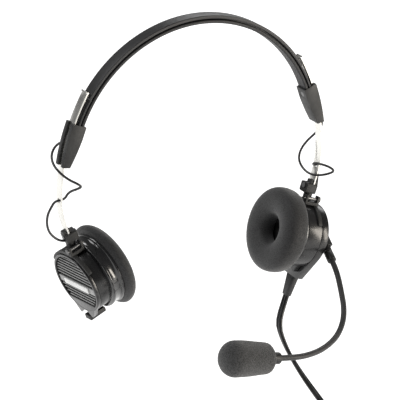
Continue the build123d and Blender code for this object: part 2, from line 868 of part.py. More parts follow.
# the lead's route at rest, from the boot to the coil on the floor
lead_start = 6.0          # the lead runs straight out of its boot
lead_route = [
    (62.6, -5.0, -210.0),
    (63.2, -10.5, -220.0),
    (65.8, -18.0, -230.5),
    (69.4, -28.0, -241.0),
    (73.4, -41.5, -251.5),
    (77.4, -56.0, -262.5),
    (80.4, -71.0, -273.5),
    (82.4, -86.0, -281.5),
    (79.8, -101.5, -285.2),
]
coil_centre = (47.0, -118.0)
coil_radius = 28.0
coil_breadth = 16.0
coil_height = 8.4
tie_thickness = 0.6
tie_width = 6.0
tie_turn = 150.0          # where the tie holds the coil, from +X


def cord_lead():
    straight = [world((boot_x, 0, -foot_depth - boot_length - reach)) for reach in (0, lead_start)]
    return tube(straight + [Vector(*p) for p in lead_route], cord_diameter, "cord_lead")


def coil_ring(grow=0.0):
    section = RectangleRounded(coil_breadth + 2 * grow, coil_height + 2 * grow, 3.0 + grow)
    ring = revolve(Plane.XZ * Pos(coil_radius, 0) * section, Axis.Z, 360)
    return Pos(*coil_centre, floor_level + tie_thickness + coil_height / 2) * ring


def cord_tie():
    """A strap round the coil's turns."""
    slab = Pos(*coil_centre, floor_level) * Rot(0, 0, tie_turn) * box(
        (5, 50), (-tie_width / 2, tie_width / 2), (-1, 40)
    )
    return (coil_ring(tie_thickness) - coil_ring(seat_gap)) & slab


# the two tails, on the floor from the splitter to the rear of their plugs
splitter_place = (21.0, -151.0)
splitter_size = (15.0, 9.0, 5.2)
splitter_turn = -8.0
plug_sizes = {
    # handle radius, handle length, contact radius, contact length
    "headphone_plug": (7.0, 38.0, 6.35 / 2, 31.0),
    "microphone_plug": (6.0, 36.0, 5.23 / 2, 27.0),
}
plug_sleeve = 12.0        # the tapered rear of a handle
plug_insert = 8.0         # a contact's stem reaches this far into its handle
plug_stem = 0.7           # the stem's radius, as a share of the contact's
ring_inset = 0.05         # a contact's ring is this much smaller than its sleeve
band_inset = 0.25         # and so are its two insulating bands
tail_routes = {
    "headphone_plug": [
        (-8.0, -157.5, 1.5),
        (-27.0, -155.0, 1.5),
        (-42.0, -144.0, 1.5),
        (-50.5, -127.5, 1.6),
        (-52.0, -110.0, 3.4),
    ],
    "microphone_plug": [
        (-6.0, -150.5, 1.5),
        (-19.0, -142.0, 1.5),
        (-27.0, -128.0, 1.5),
        (-29.0, -112.0, 1.5),
        (-25.5, -97.0, 1.6),
        (-26.0, -82.0, 3.0),
    ],
}
plug_ends = {"headphone_plug": (-50.0, -94.0), "microphone_plug": (-24.0, -66.0)}


def splitter_frame():
    x, y = splitter_place
    return Pos(x, y, floor_level + splitter_size[2] / 2) * Rot(0, 0, splitter_turn)


def cord_splitter():
    block = splitter_frame() * Box(*splitter_size)
    return fillet(block.edges().filter_by(Axis.Z), 2.0) - coil_ring(seat_gap)


def tail_exit(name, reach=0.0):
    side = -1 if name == "headphone_plug" else 1
    place = (-splitter_size[0] / 2 - reach, side * 2.2, -splitter_size[2] / 2 + tail_diameter / 2)
    return (splitter_frame() * Pos(*place)).position


def plug_line(name):
    """Where a plug's axis starts, at its rear, and its way."""
    x, y = plug_ends[name]
    start = Vector(x, y, floor_level + plug_sizes[name][0])
    before = Vector(*tail_routes[name][-1]) + Vector(0, 0, floor_level)
    flat = Vector(start.X - before.X, start.Y - before.Y, 0).normalized()
    return start, flat


def cord_tails():
    tails = []
    for name in plug_sizes:
        start, way = plug_line(name)
        points = [tail_exit(name), tail_exit(name, 6.0)]
        points += [Vector(x, y, floor_level + z) for x, y, z in tail_routes[name]]
        points += [start - way * 5.0, start]
        tails.append(tube(points, tail_diameter, f"tail of {name}"))
    return Compound(children=tails)


def plug_handle(name):
    radius, length, contact, _ = plug_sizes[name]
    start, way = plug_line(name)
    rear, front = 2.4, radius
    sleeve = plug_sleeve
    points = [(0, 0), (0, rear), (sleeve, radius * 0.78), (sleeve, front), (length, front), (length, 0)]
    corners = [(x, 0, r) for x, r in points]
    face = Face(Wire([Line(a, b) for a, b in zip(corners, corners[1:] + corners[:1])]))
    solid = revolve(face, Axis.X, 360)
    stem = plug_stem * contact + seat_gap
    solid = solid - rod((length - plug_insert, 0, 0), (1, 0, 0), stem, plug_insert + 1)
    return Location(Plane(origin=start, x_dir=way, z_dir=(0, 0, 1))) * solid


def plug_contact(name):
    """Sleeve, ring and ball tip of a phone plug."""
    _, length, r, reach = plug_sizes[name]
    neck = r * 0.72
    start, way = plug_line(name)
    end = length + reach
    points = [
        (length - plug_insert + seat_gap, 0),
        (length - plug_insert + seat_gap, plug_stem * r),
        (length, plug_stem * r),
        (length, r),
        (end - 14.0, r),
        (end - 14.0, r - band_inset),
        (end - 13.2, r - band_inset),
        (end - 13.2, r - ring_inset),
        (end - 7.6, r - ring_inset),
        (end - 7.6, r - band_inset),
        (end - 6.8, r - band_inset),
        (end - 6.8, neck),
        (end - 4.6, r * 0.98),
        (end - 3.2, r * 0.98),
        (end, r * 0.3),
        (end, 0),
    ]
    corners = [(x, 0, h) for x, h in points]
    face = Face(Wire([Line(a, b) for a, b in zip(corners, corners[1:] + corners[:1])]))
    return Location(Plane(origin=start, x_dir=way, z_dir=(0, 0, 1))) * revolve(face, Axis.X, 360)


# ---- lead wires --------------------------------------------------------------------------------
# Each lead wire leaves its block's rear face, loops round the strip, goes through the strip's
# hole and ends in the clevis. Both routes are given for the right side, at rest, from the place
# where the wire comes out of the block's rear face.
wire_routes = {
    "left": [
        (0.7, 5.2, -0.7),
        (5.2, 6.2, -3.4),
        (9.5, 2.7, -6.8),
        (11.3, -2.7, -10.7),
        (10.1, -9.4, -14.3),
        (6.4, -14.6, -17.7),
        (1.6, -16.4, -20.4),
        (-1.0, -16.8, -22.6),
        (0.8, -14.2, -24.6),
        (2.8, -10.4, -26.8),
        (3.8, -7.2, -29.6),
    ],
    "right": [
        (0.5, 5.7, -0.5),
        (5.1, 7.5, -2.7),
        (9.9, 4.9, -6.1),
        (12.5, 0.3, -11.7),
        (12.9, -0.5, -18.5),
        (10.5, 3.5, -24.3),
        (6.7, 7.5, -30.3),
        (2.9, 8.9, -36.5),
        (0.5, 6.7, -42.1),
        (0.7, 1.3, -46.3),
        (2.1, -5.3, -48.1),
        (4.5, -12.3, -46.9),
        (7.7, -18.1, -44.3),
        (9.9, -21.3, -41.7),
        (7.7, -18.3, -39.5),
        (4.5, -13.5, -38.7),
        (2.7, -8.3, -39.3),
    ],
}
wire_falls = {
    "left": [
        (12.6, -4.3, -36.7),
        (15.3, -3.3, -42.3),
        (15.7, -3.1, -49.3),
        (13.5, -3.7, -55.5),
    ],
    "right": [
        (8.5, -3.9, -45.5),
        (8.7, -3.9, -53.3),
    ],
}


def lead_wire(side):
    (x, _, z), _ = gland_place()
    rear = Vector(x, block_width / 2, z)
    start = rear + Vector(0, gland_length, 0)
    (hx, _, hz), way = hole_place(side)
    place = slide(side) * Pos(hx, 0, hz)
    hole, way = place.position, Vector(*way)
    entry = (clevis_frame(side) * Pos(wire_entry[0] - wire_entry_depth, *wire_entry[1:])).position
    outward = (ear_free(Pos(*wire_entry_way())).position - ear_free(Pos(0, 0, 0)).position).normalized()
    points = [start] + [rear + Vector(*p) for p in wire_routes[side]]
    points += [hole - way * 3.4, hole + way * 3.0]
    points += [rear + Vector(*p) for p in wire_falls[side]]
    points += [entry + outward * 4.0, entry]
    return tube(points, wire_diameter, f"{side} lead wire")


parts = {
    "headband_inner_pad": headband_pad(),
    "headband_spring": headband_spring(),
    "headband_outer_cover": headband_cover(),
    "crossover_wire": crossover_wire(),
}
for side in ("left", "right"):
    parts[f"{side}_slider_block"] = sided(slider_block(), side)
    parts[f"{side}_lead_wire"] = sided(lead_wire(side), side)
    parts[f"{side}_slider_strip"] = sided(slider_strip(side), side)
    for name, shape in (("clevis", clevis()), ("clevis_rivet", clevis_rivet())):
        parts[f"{side}_{name}"] = sided(clevis_frame(side) * shape, side)
    for name, shape in (
        ("yoke", yoke()),
        ("stop_pin", stop_pin()),
        ("case", case()),
        ("flange", flange(side)),
        ("baffle", baffle()),
        ("driver_basket", driver_basket()),
        ("driver_magnet", driver_magnet()),
        ("diaphragm", diaphragm()),
        ("driver_screws", driver_screws()),
        ("ear_cushion", cushion(side)),
    ):
        parts[f"{side}_{name}"] = sided(ear(side) * shape, side)
for name, shape in (
    ("wire_glands", wire_gland()),
    ("friction_springs", friction_leaf()),
    ("block_rivets", block_rivet()),
):
    parts[name] = shape + sided(shape, "left")
for name, shape in (("left_grille", grille()), ("label_plate", label_plate()), ("cord_hook", cord_hook())):
    parts[name] = sided(ear("left") * shape, "left")
for name, shape in (
    ("boom_housing", boom_housing()),
    ("housing_back_plate", housing_back_plate()),
    ("boom_swivel", boom_swivel()),
    ("boom_clip", boom_clip()),
    ("boom_ferrule", boom_ferrule()),
    ("cord_boot", cord_boot()),
):
    parts[name] = ear("right") * shape
parts["gooseneck_lower"] = gooseneck_lower()
parts["gooseneck_upper"] = gooseneck_upper()
parts["mic_collar"] = mic_collar()
parts["mic_capsule"] = mic_capsule()
parts["windscreen"] = windscreen()
parts["cord_lead"] = cord_lead()
parts["cord_coil"] = coil_ring()
parts["cord_tie"] = cord_tie()
parts["cord_splitter"] = cord_splitter()
parts["cord_tails"] = cord_tails()
for name in plug_sizes:
    parts[name] = plug_handle(name)
    parts[f"{name}_contact"] = plug_contact(name)

for name, shape in parts.items():
    save(name, shape)
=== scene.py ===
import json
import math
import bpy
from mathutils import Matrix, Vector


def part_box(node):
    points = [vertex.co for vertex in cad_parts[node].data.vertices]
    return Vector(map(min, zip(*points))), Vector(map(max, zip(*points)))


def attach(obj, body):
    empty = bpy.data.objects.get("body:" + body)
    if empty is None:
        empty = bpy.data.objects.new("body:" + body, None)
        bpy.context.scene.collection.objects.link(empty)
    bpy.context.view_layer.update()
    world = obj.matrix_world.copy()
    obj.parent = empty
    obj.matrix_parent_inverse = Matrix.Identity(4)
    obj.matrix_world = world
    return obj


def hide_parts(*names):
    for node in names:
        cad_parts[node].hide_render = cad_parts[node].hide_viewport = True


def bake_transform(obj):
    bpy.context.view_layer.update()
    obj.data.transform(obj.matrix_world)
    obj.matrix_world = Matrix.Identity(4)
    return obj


bl_info = {
    "name": "Aviation Headset",
    "version": (1, 0, 0),
    "blender": (4, 5, 0),
    "location": "3D View > Sidebar > Headset",
    "description": "Builds the looks of an on-ear aviation headset round its packed frame",
    "category": "Add Mesh",
}

import bmesh
import bpy
from mathutils import Matrix, Vector, noise

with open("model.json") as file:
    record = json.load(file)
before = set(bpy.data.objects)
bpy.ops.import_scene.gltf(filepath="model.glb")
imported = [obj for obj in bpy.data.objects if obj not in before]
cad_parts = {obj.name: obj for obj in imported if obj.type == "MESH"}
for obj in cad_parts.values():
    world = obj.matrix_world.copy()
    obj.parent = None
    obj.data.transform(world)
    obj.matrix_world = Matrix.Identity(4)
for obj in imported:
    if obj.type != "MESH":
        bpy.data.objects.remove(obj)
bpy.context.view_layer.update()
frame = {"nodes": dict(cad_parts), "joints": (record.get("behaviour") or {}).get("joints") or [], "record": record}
JOINTS = {joint["name"]: joint for joint in frame["joints"]}
SIDES = ("left", "right")
MM = 0.001

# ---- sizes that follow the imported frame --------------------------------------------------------
PIVOT_OUT = 10.5 * MM  # the swivel's axis, outwards from a cushion's seat
SWIVEL_AT_REST = {"left": math.radians(9.0), "right": math.radians(2.0)}
BAND_CENTRE = -83.0 * MM
PAD_INNER = 83.0 * MM
PAD_OUTER = 85.2 * MM
COVER_INNER = 85.9 * MM
COVER_OUTER = 88.0 * MM
RECESS_OUTER = 87.2 * MM
COVER_FULL_TURN = math.radians(57.5)
BAND_END_TURN = math.radians(73.5)
BAND_WIDTH = 9.0 * MM
CASE_FRONT, CASE_BACK = 6.0 * MM, 16.6 * MM
CASE_RADIUS = 20.5 * MM
RIGHT_CASE_RADIUS = 21.2 * MM
FLANGE_RADIUS = 23.6 * MM
LIP_HALF_WIDTH, LIP_DEPTH, LIP_FRONT = 6.0 * MM, 24.2 * MM, 13.0 * MM
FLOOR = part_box("headphone_plug")[0].z
NECK_DIAMETER = 3.6 * MM
TAIL_DIAMETER = 3.0 * MM
WIRE_DIAMETER = 1.5 * MM
COIL_CENTRE = Vector((47.0, -118.0, 0.0)) * MM
COIL_RADIUS = 28.0 * MM
COIL_COLUMN = 5.3 * MM
COIL_LAYER = 2.65 * MM


def mm(*points):
    return [Vector(point) * MM for point in points]


def phone_frame(side):
    """A phone's own axes: x out from the cushion's seat, y to the wearer's back, z up."""
    joint = JOINTS[f"{side}_swivel"]
    sign = 1 if side == "right" else -1
    up, pivot = Vector(joint["axis"]), Vector(joint["pos_m"])
    up.x *= sign
    pivot.x *= sign
    back = Vector((0, 1, 0))
    axes = Matrix((back.cross(up), back, up)).transposed().to_4x4()
    turn = Matrix.Rotation(-SWIVEL_AT_REST[side], 4, "Z")
    place = Matrix.Translation(pivot) @ axes @ turn @ Matrix.Translation((-PIVOT_OUT, 0, 0))
    return Matrix.Diagonal((sign, 1, 1, 1)) @ place


PHONE = {side: phone_frame(side) for side in SIDES}

# ---- routes, the same as the frame's -----------------------------------------------------------
BOOM_DIP = math.radians(26.0)
BOOM_WAY = (PHONE["right"].to_3x3() @ Vector((0, -math.cos(BOOM_DIP), -math.sin(BOOM_DIP)))).normalized()
BOOM_START = PHONE["right"] @ Vector((25.3 * MM, 0, 6.0 * MM))
FERRULE_END = BOOM_START + BOOM_WAY * 30.0 * MM
MIC_START = Vector((9.0, -90.2, -185.6)) * MM
MIC_WAY = Vector((-0.970, -0.062, 0.236)).normalized()
NECK_ROUTE = [
    FERRULE_END,
    FERRULE_END + BOOM_WAY * 8.0 * MM,
    *mm(
        (83.6, -43.5, -172.6),
        (78.6, -57.5, -184.6),
        (66.5, -69.5, -191.6),
        (49.5, -79.0, -193.4),
        (32.0, -86.0, -191.2),
    ),
    MIC_START - MIC_WAY * 8.0 * MM,
    MIC_START,
]
BOOT_WAY = (PHONE["right"].to_3x3() @ Vector((0, 0, -1))).normalized()
BOOT_TIP = PHONE["right"] @ (Vector((19.3, 0, -42.0)) * MM)
LEAD_ROUTE = [
    BOOT_TIP,
    BOOT_TIP + BOOT_WAY * 6.0 * MM,
    *mm(
        (62.6, -5.0, -210.0),
        (63.2, -10.5, -220.0),
        (65.8, -18.0, -230.5),
        (69.4, -28.0, -241.0),
        (73.4, -41.5, -251.5),
        (77.4, -56.0, -262.5),
        (80.4, -71.0, -273.5),
        (82.4, -86.0, -281.5),
        (79.8, -101.5, -285.2),
    ),
]
SPLITTER_AT = Vector((21.0, -151.0, 0.0)) * MM
SPLITTER_TURN = math.radians(-8.0)
SPLITTER_HALF = 7.5 * MM
TAIL_ROUTES = {
    "headphone_plug": mm(
        (-8.0, -157.5, 1.5),
        (-27.0, -155.0, 1.5),
        (-42.0, -144.0, 1.5),
        (-50.5, -127.5, 1.6),
        (-52.0, -110.0, 3.4),
    ),
    "microphone_plug": mm(
        (-6.0, -150.5, 1.5),
        (-19.0, -142.0, 1.5),
        (-27.0, -128.0, 1.5),
        (-29.0, -112.0, 1.5),
        (-25.5, -97.0, 1.6),
        (-26.0, -82.0, 3.0),
    ),
}
PLUG_ENDS = {
    "headphone_plug": Vector((-50.0, -94.0, 7.0)) * MM,
    "microphone_plug": Vector((-24.0, -66.0, 6.0)) * MM,
}


# ---- settings ----------------------------------------------------------------------------------
def length_setting(name, words, size):
    return bpy.props.FloatProperty(
        name=name, description=words, default=size, min=0.0, subtype="DISTANCE", unit="LENGTH"
    )


def colour_setting(name, words, colour):
    return bpy.props.FloatVectorProperty(
        name=name, description=words, default=colour, size=3, min=0.0, max=1.0, subtype="COLOR"
    )


class EdgeSettings(bpy.types.PropertyGroup):
    """How far the sharp edges of the moulded and pressed pieces are rounded."""

    cover: length_setting("Cover", "Rounding of the headband cover", 0.5 * MM)
    block: length_setting("Blocks", "Rounding of the slider blocks", 0.45 * MM)
    strip: length_setting("Strips", "Rounding of the steel strips", 0.18 * MM)
    clevis: length_setting("Clevises", "Rounding of the clevises and yokes", 0.22 * MM)
    case: length_setting("Cases", "Rounding of the cases and the boom housing", 0.4 * MM)
    grille: length_setting("Grille", "Rounding of the grille's slats", 0.22 * MM)
    plug: length_setting("Plugs", "Rounding of the plugs and the splitter", 0.5 * MM)


class SoftSettings(bpy.types.PropertyGroup):
    """Sizes of the cushions, the pad and the foam."""

    cushion_radius: length_setting("Cushion radius", "Outer radius of an ear cushion", 27.6 * MM)
    cushion_depth: length_setting("Cushion depth", "Thickness of an ear cushion", 12.0 * MM)
    bore_radius: length_setting("Bore radius", "Radius of a cushion's bore at its back", 8.2 * MM)
    foam_radius: length_setting("Windscreen radius", "Largest radius of the foam", 11.0 * MM)
    foam_length: length_setting("Windscreen length", "Length of the foam", 35.0 * MM)
    foam_pore: length_setting("Foam pore", "Depth of the pits between the foam's cells", 0.16 * MM)


class CordSettings(bpy.types.PropertyGroup):
    """Sizes of the free cord."""

    width: length_setting("Cord width", "Width of the twin cord over both cores", 5.2 * MM)
    core: length_setting("Core radius", "Radius of one core of the twin cord", 1.36 * MM)
    length: length_setting("Cord length", "Length of the twin cord from boot to splitter", 1.5)
    turn_points: bpy.props.IntProperty(
        name="Points per turn", description="Route points in one turn of the coil", default=16, min=12
    )


class ColourSettings(bpy.types.PropertyGroup):
    """Colours of the finishes."""

    gloss_black: colour_setting("Gloss black", "Cases and boom housing", (0.009, 0.009, 0.0095))
    satin_black: colour_setting("Satin black", "Headband cover", (0.011, 0.011, 0.0115))
    moulded_grey: colour_setting("Moulded grey", "Slider blocks and yokes", (0.017, 0.017, 0.0165))
    leatherette: colour_setting("Leatherette", "Cushions and pad", (0.014, 0.014, 0.0145))
    foam: colour_setting("Foam", "Windscreen", (0.036, 0.036, 0.036))
    sheath: colour_setting("Sheath", "Cords and wires", (0.012, 0.012, 0.0125))
    steel: colour_setting("Steel", "Strips", (0.78, 0.77, 0.73))
    slats: colour_setting("Slats", "Grille's slats", (0.24, 0.24, 0.237))
    plate: colour_setting("Plate", "Blank plate on the grille", (0.86, 0.86, 0.85))
    floor: colour_setting("Floor", "Pale floor", (0.9, 0.9, 0.9))


SETTINGS = {
    "headset_edges": EdgeSettings,
    "headset_soft": SoftSettings,
    "headset_cord": CordSettings,
    "headset_colours": ColourSettings,
}


def edges():
    return bpy.context.scene.headset_edges


def soft():
    return bpy.context.scene.headset_soft


def cord_sizes():
    return bpy.context.scene.headset_cord


def colours():
    return bpy.context.scene.headset_colours


# ---- mesh helpers ------------------------------------------------------------------------------
NODE_BODY = {node: body for body, nodes in frame["record"]["behaviour"]["bodies"].items() for node in nodes}
NODE_SLOT = {row["node"]: row["material_slot"] for row in frame["record"]["subparts"]}
SMOOTH_UNDER = math.radians(35)


def piece(name, bm, material, body, stands_for=()):
    """Makes an object of a bmesh that is already in place, and gives it its body and finish."""
    mesh = bpy.data.meshes.new(name)
    bm.to_mesh(mesh)
    bm.free()
    mesh.shade_smooth()
    mesh.set_sharp_from_angle(angle=SMOOTH_UNDER)
    made = bpy.data.objects.new(name, mesh)
    bpy.context.scene.collection.objects.link(made)
    made.data.materials.append(material)
    if body:
        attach(made, body)
    if stands_for:
        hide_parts(*stands_for)
    return made


def placed(bm, place):
    """Moves a bmesh into place, and turns its faces out again where the place mirrors it."""
    bm.transform(place)
    if place.determinant() < 0:
        bmesh.ops.reverse_faces(bm, faces=bm.faces)
    return bm


def round_edges(bm, width, segments=2, sharper=30.0):
    sharp = [e for e in bm.edges if e.is_manifold and e.calc_face_angle(0) > math.radians(sharper)]
    bmesh.ops.bevel(
        bm,
        geom=sharp,
        offset=width,
        segments=segments,
        profile=0.5,
        affect="EDGES",
        clamp_overlap=True,
        material=-1,
    )
    return bm


def eased(node, width, material, segments=2, name=None):
    """Stands for a hard frame piece with a copy whose sharp edges are rounded."""
    bm = bmesh.new()
    bm.from_mesh(frame["nodes"][node].data)
    bmesh.ops.remove_doubles(bm, verts=bm.verts, dist=0.5e-6)
    bmesh.ops.dissolve_limit(
        bm, angle_limit=math.radians(0.3), use_dissolve_boundaries=False, verts=bm.verts, edges=bm.edges
    )
    round_edges(bm, width, segments)
    return piece(name or f"{node}_shape", bm, material, NODE_BODY[node], (node,))


def turned(points, steps=96):
    """Spins a closed profile of (along, radius) points about the X axis."""
    bm = bmesh.new()
    verts = [bm.verts.new((x, 0.0, r)) for x, r in points]
    rims = [bm.edges.new(pair) for pair in zip(verts, verts[1:] + verts[:1])]
    bmesh.ops.spin(
        bm,
        geom=verts + rims,
        cent=(0, 0, 0),
        axis=(1, 0, 0),
        angle=math.tau,
        steps=steps,
        use_merge=True,
    )
    bmesh.ops.remove_doubles(bm, verts=bm.verts, dist=1e-6)
    bmesh.ops.recalc_face_normals(bm, faces=bm.faces)
    return bm


def along(start, way, lean=Vector((0, 0, 1))):
    """A frame at start whose X axis is way, with its Z axis near lean."""
    x = way.normalized()
    y = lean.cross(x).normalized()
    return Matrix.Translation(start) @ Matrix((x, y, x.cross(y))).transposed().to_4x4()


def smooth_line(points, between=6):
    """The points of one smooth spline over a route."""
    curve = bpy.data.curves.new("route", "CURVE")
    curve.dimensions = "3D"
    spline = curve.splines.new("NURBS")
    spline.points.add(len(points) - 1)
    for control, point in zip(spline.points, points):
        control.co = (*point, 1.0)
    spline.order_u = 3
    spline.use_endpoint_u = True
    spline.resolution_u = between
    holder = bpy.data.objects.new("route", curve)
    mesh = bpy.data.meshes.new_from_object(holder)
    line = [vertex.co.copy() for vertex in mesh.vertices]
    bpy.data.objects.remove(holder)
    bpy.data.curves.remove(curve)
    bpy.data.meshes.remove(mesh)
    return line


def frames_on(line, wide):
    """A frame at each point of a line: X along it, Y as near as can be to wide(index, way)."""
    made = []
    for i, point in enumerate(line):
        way = (line[min(i + 1, len(line) - 1)] - line[max(i - 1, 0)]).normalized()
        across = wide(i, way)
        across = (across - way * across.dot(way)).normalized()
        turn = Matrix((way, across, way.cross(across))).transposed().to_4x4()
        made.append(Matrix.Translation(point) @ turn)
    return made


def carried(line):
    """An across direction for each point, carried along the line with no twist."""
    way = (line[1] - line[0]).normalized()
    across = way.orthogonal().normalized()
    sides = []
    for i in range(len(line)):
        way = (line[min(i + 1, len(line) - 1)] - line[max(i - 1, 0)]).normalized()
        across = (across - way * across.dot(way)).normalized()
        sides.append(across.copy())
    return sides


def swept(frames, outline):
    """Draws a ring along frames. outline puts a circle's vertex in place: it gives (y, z)."""
    bm = bmesh.new()
    start = bmesh.ops.create_circle(bm, cap_ends=False, segments=outline.steps, radius=1.0)
    for vertex in start["verts"]:
        y, z = outline(math.atan2(vertex.co.y, vertex.co.x))
        vertex.co = (0.0, y, z)
    bmesh.ops.transform(bm, matrix=frames[0], verts=start["verts"])
    ring = list(bm.edges)
    bmesh.ops.contextual_create(bm, geom=ring)
    for before, after in zip(frames, frames[1:]):
        drawn = bmesh.ops.extrude_edge_only(bm, edges=ring)["geom"]
        verts = [g for g in drawn if isinstance(g, bmesh.types.BMVert)]
        ring = [g for g in drawn if isinstance(g, bmesh.types.BMEdge) and g.is_boundary]
        bmesh.ops.transform(bm, matrix=after @ before.inverted(), verts=verts)
    bmesh.ops.contextual_create(bm, geom=ring)
    bmesh.ops.recalc_face_normals(bm, faces=bm.faces)
    return bm


class Round:
    """A round section."""

    def __init__(self, radius, steps=14):
        self.radius = radius
        self.steps = steps

    def __call__(self, turn):
        return self.radius * math.cos(turn), self.radius * math.sin(turn)


class Twin:
    """Two round cores moulded side by side, with a groove between them."""

    def __init__(self, width, core, steps=28):
        self.offset = width / 2 - core
        self.core = core
        self.steps = steps
        self.waist = math.acos(-self.offset / core)

    def __call__(self, turn):
        side = 1 if math.cos(turn) >= 0 else -1
        lean = math.atan2(math.sin(turn), abs(math.cos(turn))) * self.waist / (math.pi / 2)
        return side * (self.offset + self.core * math.cos(lean)), self.core * math.sin(lean)


def tube(line, radius, steps=14):
    sides = carried(line)
    return swept(frames_on(line, lambda i, way: sides[i]), Round(radius, steps))


# ---- shader groups -----------------------------------------------------------------------------
def group(name, inputs, outputs):
    """An empty node group with its sockets, and its two end nodes."""
    tree = bpy.data.node_groups.new(name, "ShaderNodeTree")
    for socket, value in inputs.items():
        kind = "NodeSocketVector" if isinstance(value, tuple) else "NodeSocketFloat"
        made = tree.interface.new_socket(socket, in_out="INPUT", socket_type=kind)
        made.default_value = value
    for socket in outputs:
        tree.interface.new_socket(socket, in_out="OUTPUT", socket_type="NodeSocketFloat")
    return tree, tree.nodes.new("NodeGroupInput"), tree.nodes.new("NodeGroupOutput")


def math_node(tree, operation, a, b=None, clamp=False):
    node = tree.nodes.new("ShaderNodeMath")
    node.operation = operation
    node.use_clamp = clamp
    for i, value in enumerate((a, b)):
        if value is None:
            continue
        if isinstance(value, (int, float)):
            node.inputs[i].default_value = value
        else:
            tree.links.new(value, node.inputs[i])
    return node.outputs[0]


def spread(tree, value, low, high):
    """Stretches a value between two limits over 0 to 1."""
    node = tree.nodes.new("ShaderNodeMapRange")
    node.interpolation_type = "SMOOTHSTEP"
    tree.links.new(value, node.inputs["Value"])
    node.inputs["From Min"].default_value = low
    node.inputs["From Max"].default_value = high
    return node.outputs["Result"]


def noise_node(tree, where, scale, detail=4.0, rough=0.55):
    node = tree.nodes.new("ShaderNodeTexNoise")
    tree.links.new(where, node.inputs["Vector"])
    if isinstance(scale, (int, float)):
        node.inputs["Scale"].default_value = scale
    else:
        tree.links.new(scale, node.inputs["Scale"])
    node.inputs["Detail"].default_value = detail
    node.inputs["Roughness"].default_value = rough
    return node.outputs["Fac"]


def cells_node(tree, where, scale, feature="F1", smooth=0.0):
    node = tree.nodes.new("ShaderNodeTexVoronoi")
    node.feature = feature
    tree.links.new(where, node.inputs["Vector"])
    tree.links.new(scale, node.inputs["Scale"])
    if feature == "SMOOTH_F1":
        node.inputs["Smoothness"].default_value = smooth
    return node.outputs["Distance"]


def moulded_group():
    """Fine spark grain, with smudges where a hand has rubbed it smooth."""
    tree, ins, outs = group(
        "Moulded Grain", {"Where": (0.0, 0.0, 0.0), "Scale": 3000.0, "Smudge": 60.0}, ("Height", "Rubbed")
    )
    where = ins.outputs["Where"]
    grain = noise_node(tree, where, ins.outputs["Scale"], 3.0, 0.7)
    smudge = noise_node(tree, where, ins.outputs["Smudge"], 5.0, 0.6)
    rubbed = spread(tree, smudge, 0.42, 0.66)
    height = math_node(tree, "MULTIPLY", grain, math_node(tree, "SUBTRACT", 1.15, rubbed))
    tree.links.new(height, outs.inputs["Height"])
    tree.links.new(rubbed, outs.inputs["Rubbed"])
    return tree


def leather_group():
    """Pebbles with creases between them, over slow folds; the cushions and the pad darken the creases as painted
    shade.
    """
    tree, ins, outs = group(
        "Leather Grain", {"Where": (0.0, 0.0, 0.0), "Scale": 900.0, "Fold": 120.0}, ("Height", "Crease")
    )
    where = ins.outputs["Where"]
    pebble = cells_node(tree, where, ins.outputs["Scale"], "SMOOTH_F1", 0.6)
    crease = spread(tree, pebble, 0.25, 0.75)
    fold = noise_node(tree, where, ins.outputs["Fold"], 4.0, 0.55)
    height = math_node(tree, "SUBTRACT", math_node(tree, "MULTIPLY", fold, 1.6), crease)
    tree.links.new(height, outs.inputs["Height"])
    tree.links.new(crease, outs.inputs["Crease"])
    return tree


def foam_group():
    """Open cells of two sizes with thin walls; the pits are darkened as painted shade, with random patches."""
    tree, ins, outs = group(
        "Foam Cells", {"Where": (0.0, 0.0, 0.0), "Scale": 1300.0, "Patch": 90.0}, ("Height", "Pit Shade")
    )
    where = ins.outputs["Where"]
    large = cells_node(tree, where, ins.outputs["Scale"])
    finer = math_node(tree, "MULTIPLY", ins.outputs["Scale"], 2.3)
    small = cells_node(tree, where, finer)
    both = math_node(tree, "MULTIPLY", large, math_node(tree, "ADD", small, 0.5))
    pit = math_node(tree, "SUBTRACT", 1.0, spread(tree, both, 0.12, 0.62))
    patch = noise_node(tree, where, ins.outputs["Patch"], 3.0, 0.5)
    # painted shade: the mask is high in the pits between the cell walls, plus random patches
    pit_shade_and_patches = math_node(tree, "ADD", pit, math_node(tree, "MULTIPLY", patch, 0.35), clamp=True)
    tree.links.new(both, outs.inputs["Height"])
    tree.links.new(pit_shade_and_patches, outs.inputs["Pit Shade"])
    return tree


def brushed_group():
    """Fine scratches along one direction of a strip or a turned pin."""
    tree, ins, outs = group(
        "Brushed Lines",
        {"Where": (0.0, 0.0, 0.0), "Stretch": (60.0, 4000.0, 60.0), "Haze": 70.0},
        ("Height", "Haze"),
    )
    scaled = tree.nodes.new("ShaderNodeVectorMath")
    scaled.operation = "MULTIPLY"
    tree.links.new(ins.outputs["Where"], scaled.inputs[0])
    tree.links.new(ins.outputs["Stretch"], scaled.inputs[1])
    lines = noise_node(tree, scaled.outputs["Vector"], 1.0, 3.0, 0.6)
    haze = noise_node(tree, ins.outputs["Where"], ins.outputs["Haze"], 4.0, 0.6)
    tree.links.new(lines, outs.inputs["Height"])
    tree.links.new(spread(tree, haze, 0.35, 0.7), outs.inputs["Haze"])
    return tree


GROUPS = {
    "Moulded Grain": moulded_group,
    "Leather Grain": leather_group,
    "Foam Cells": foam_group,
    "Brushed Lines": brushed_group,
}


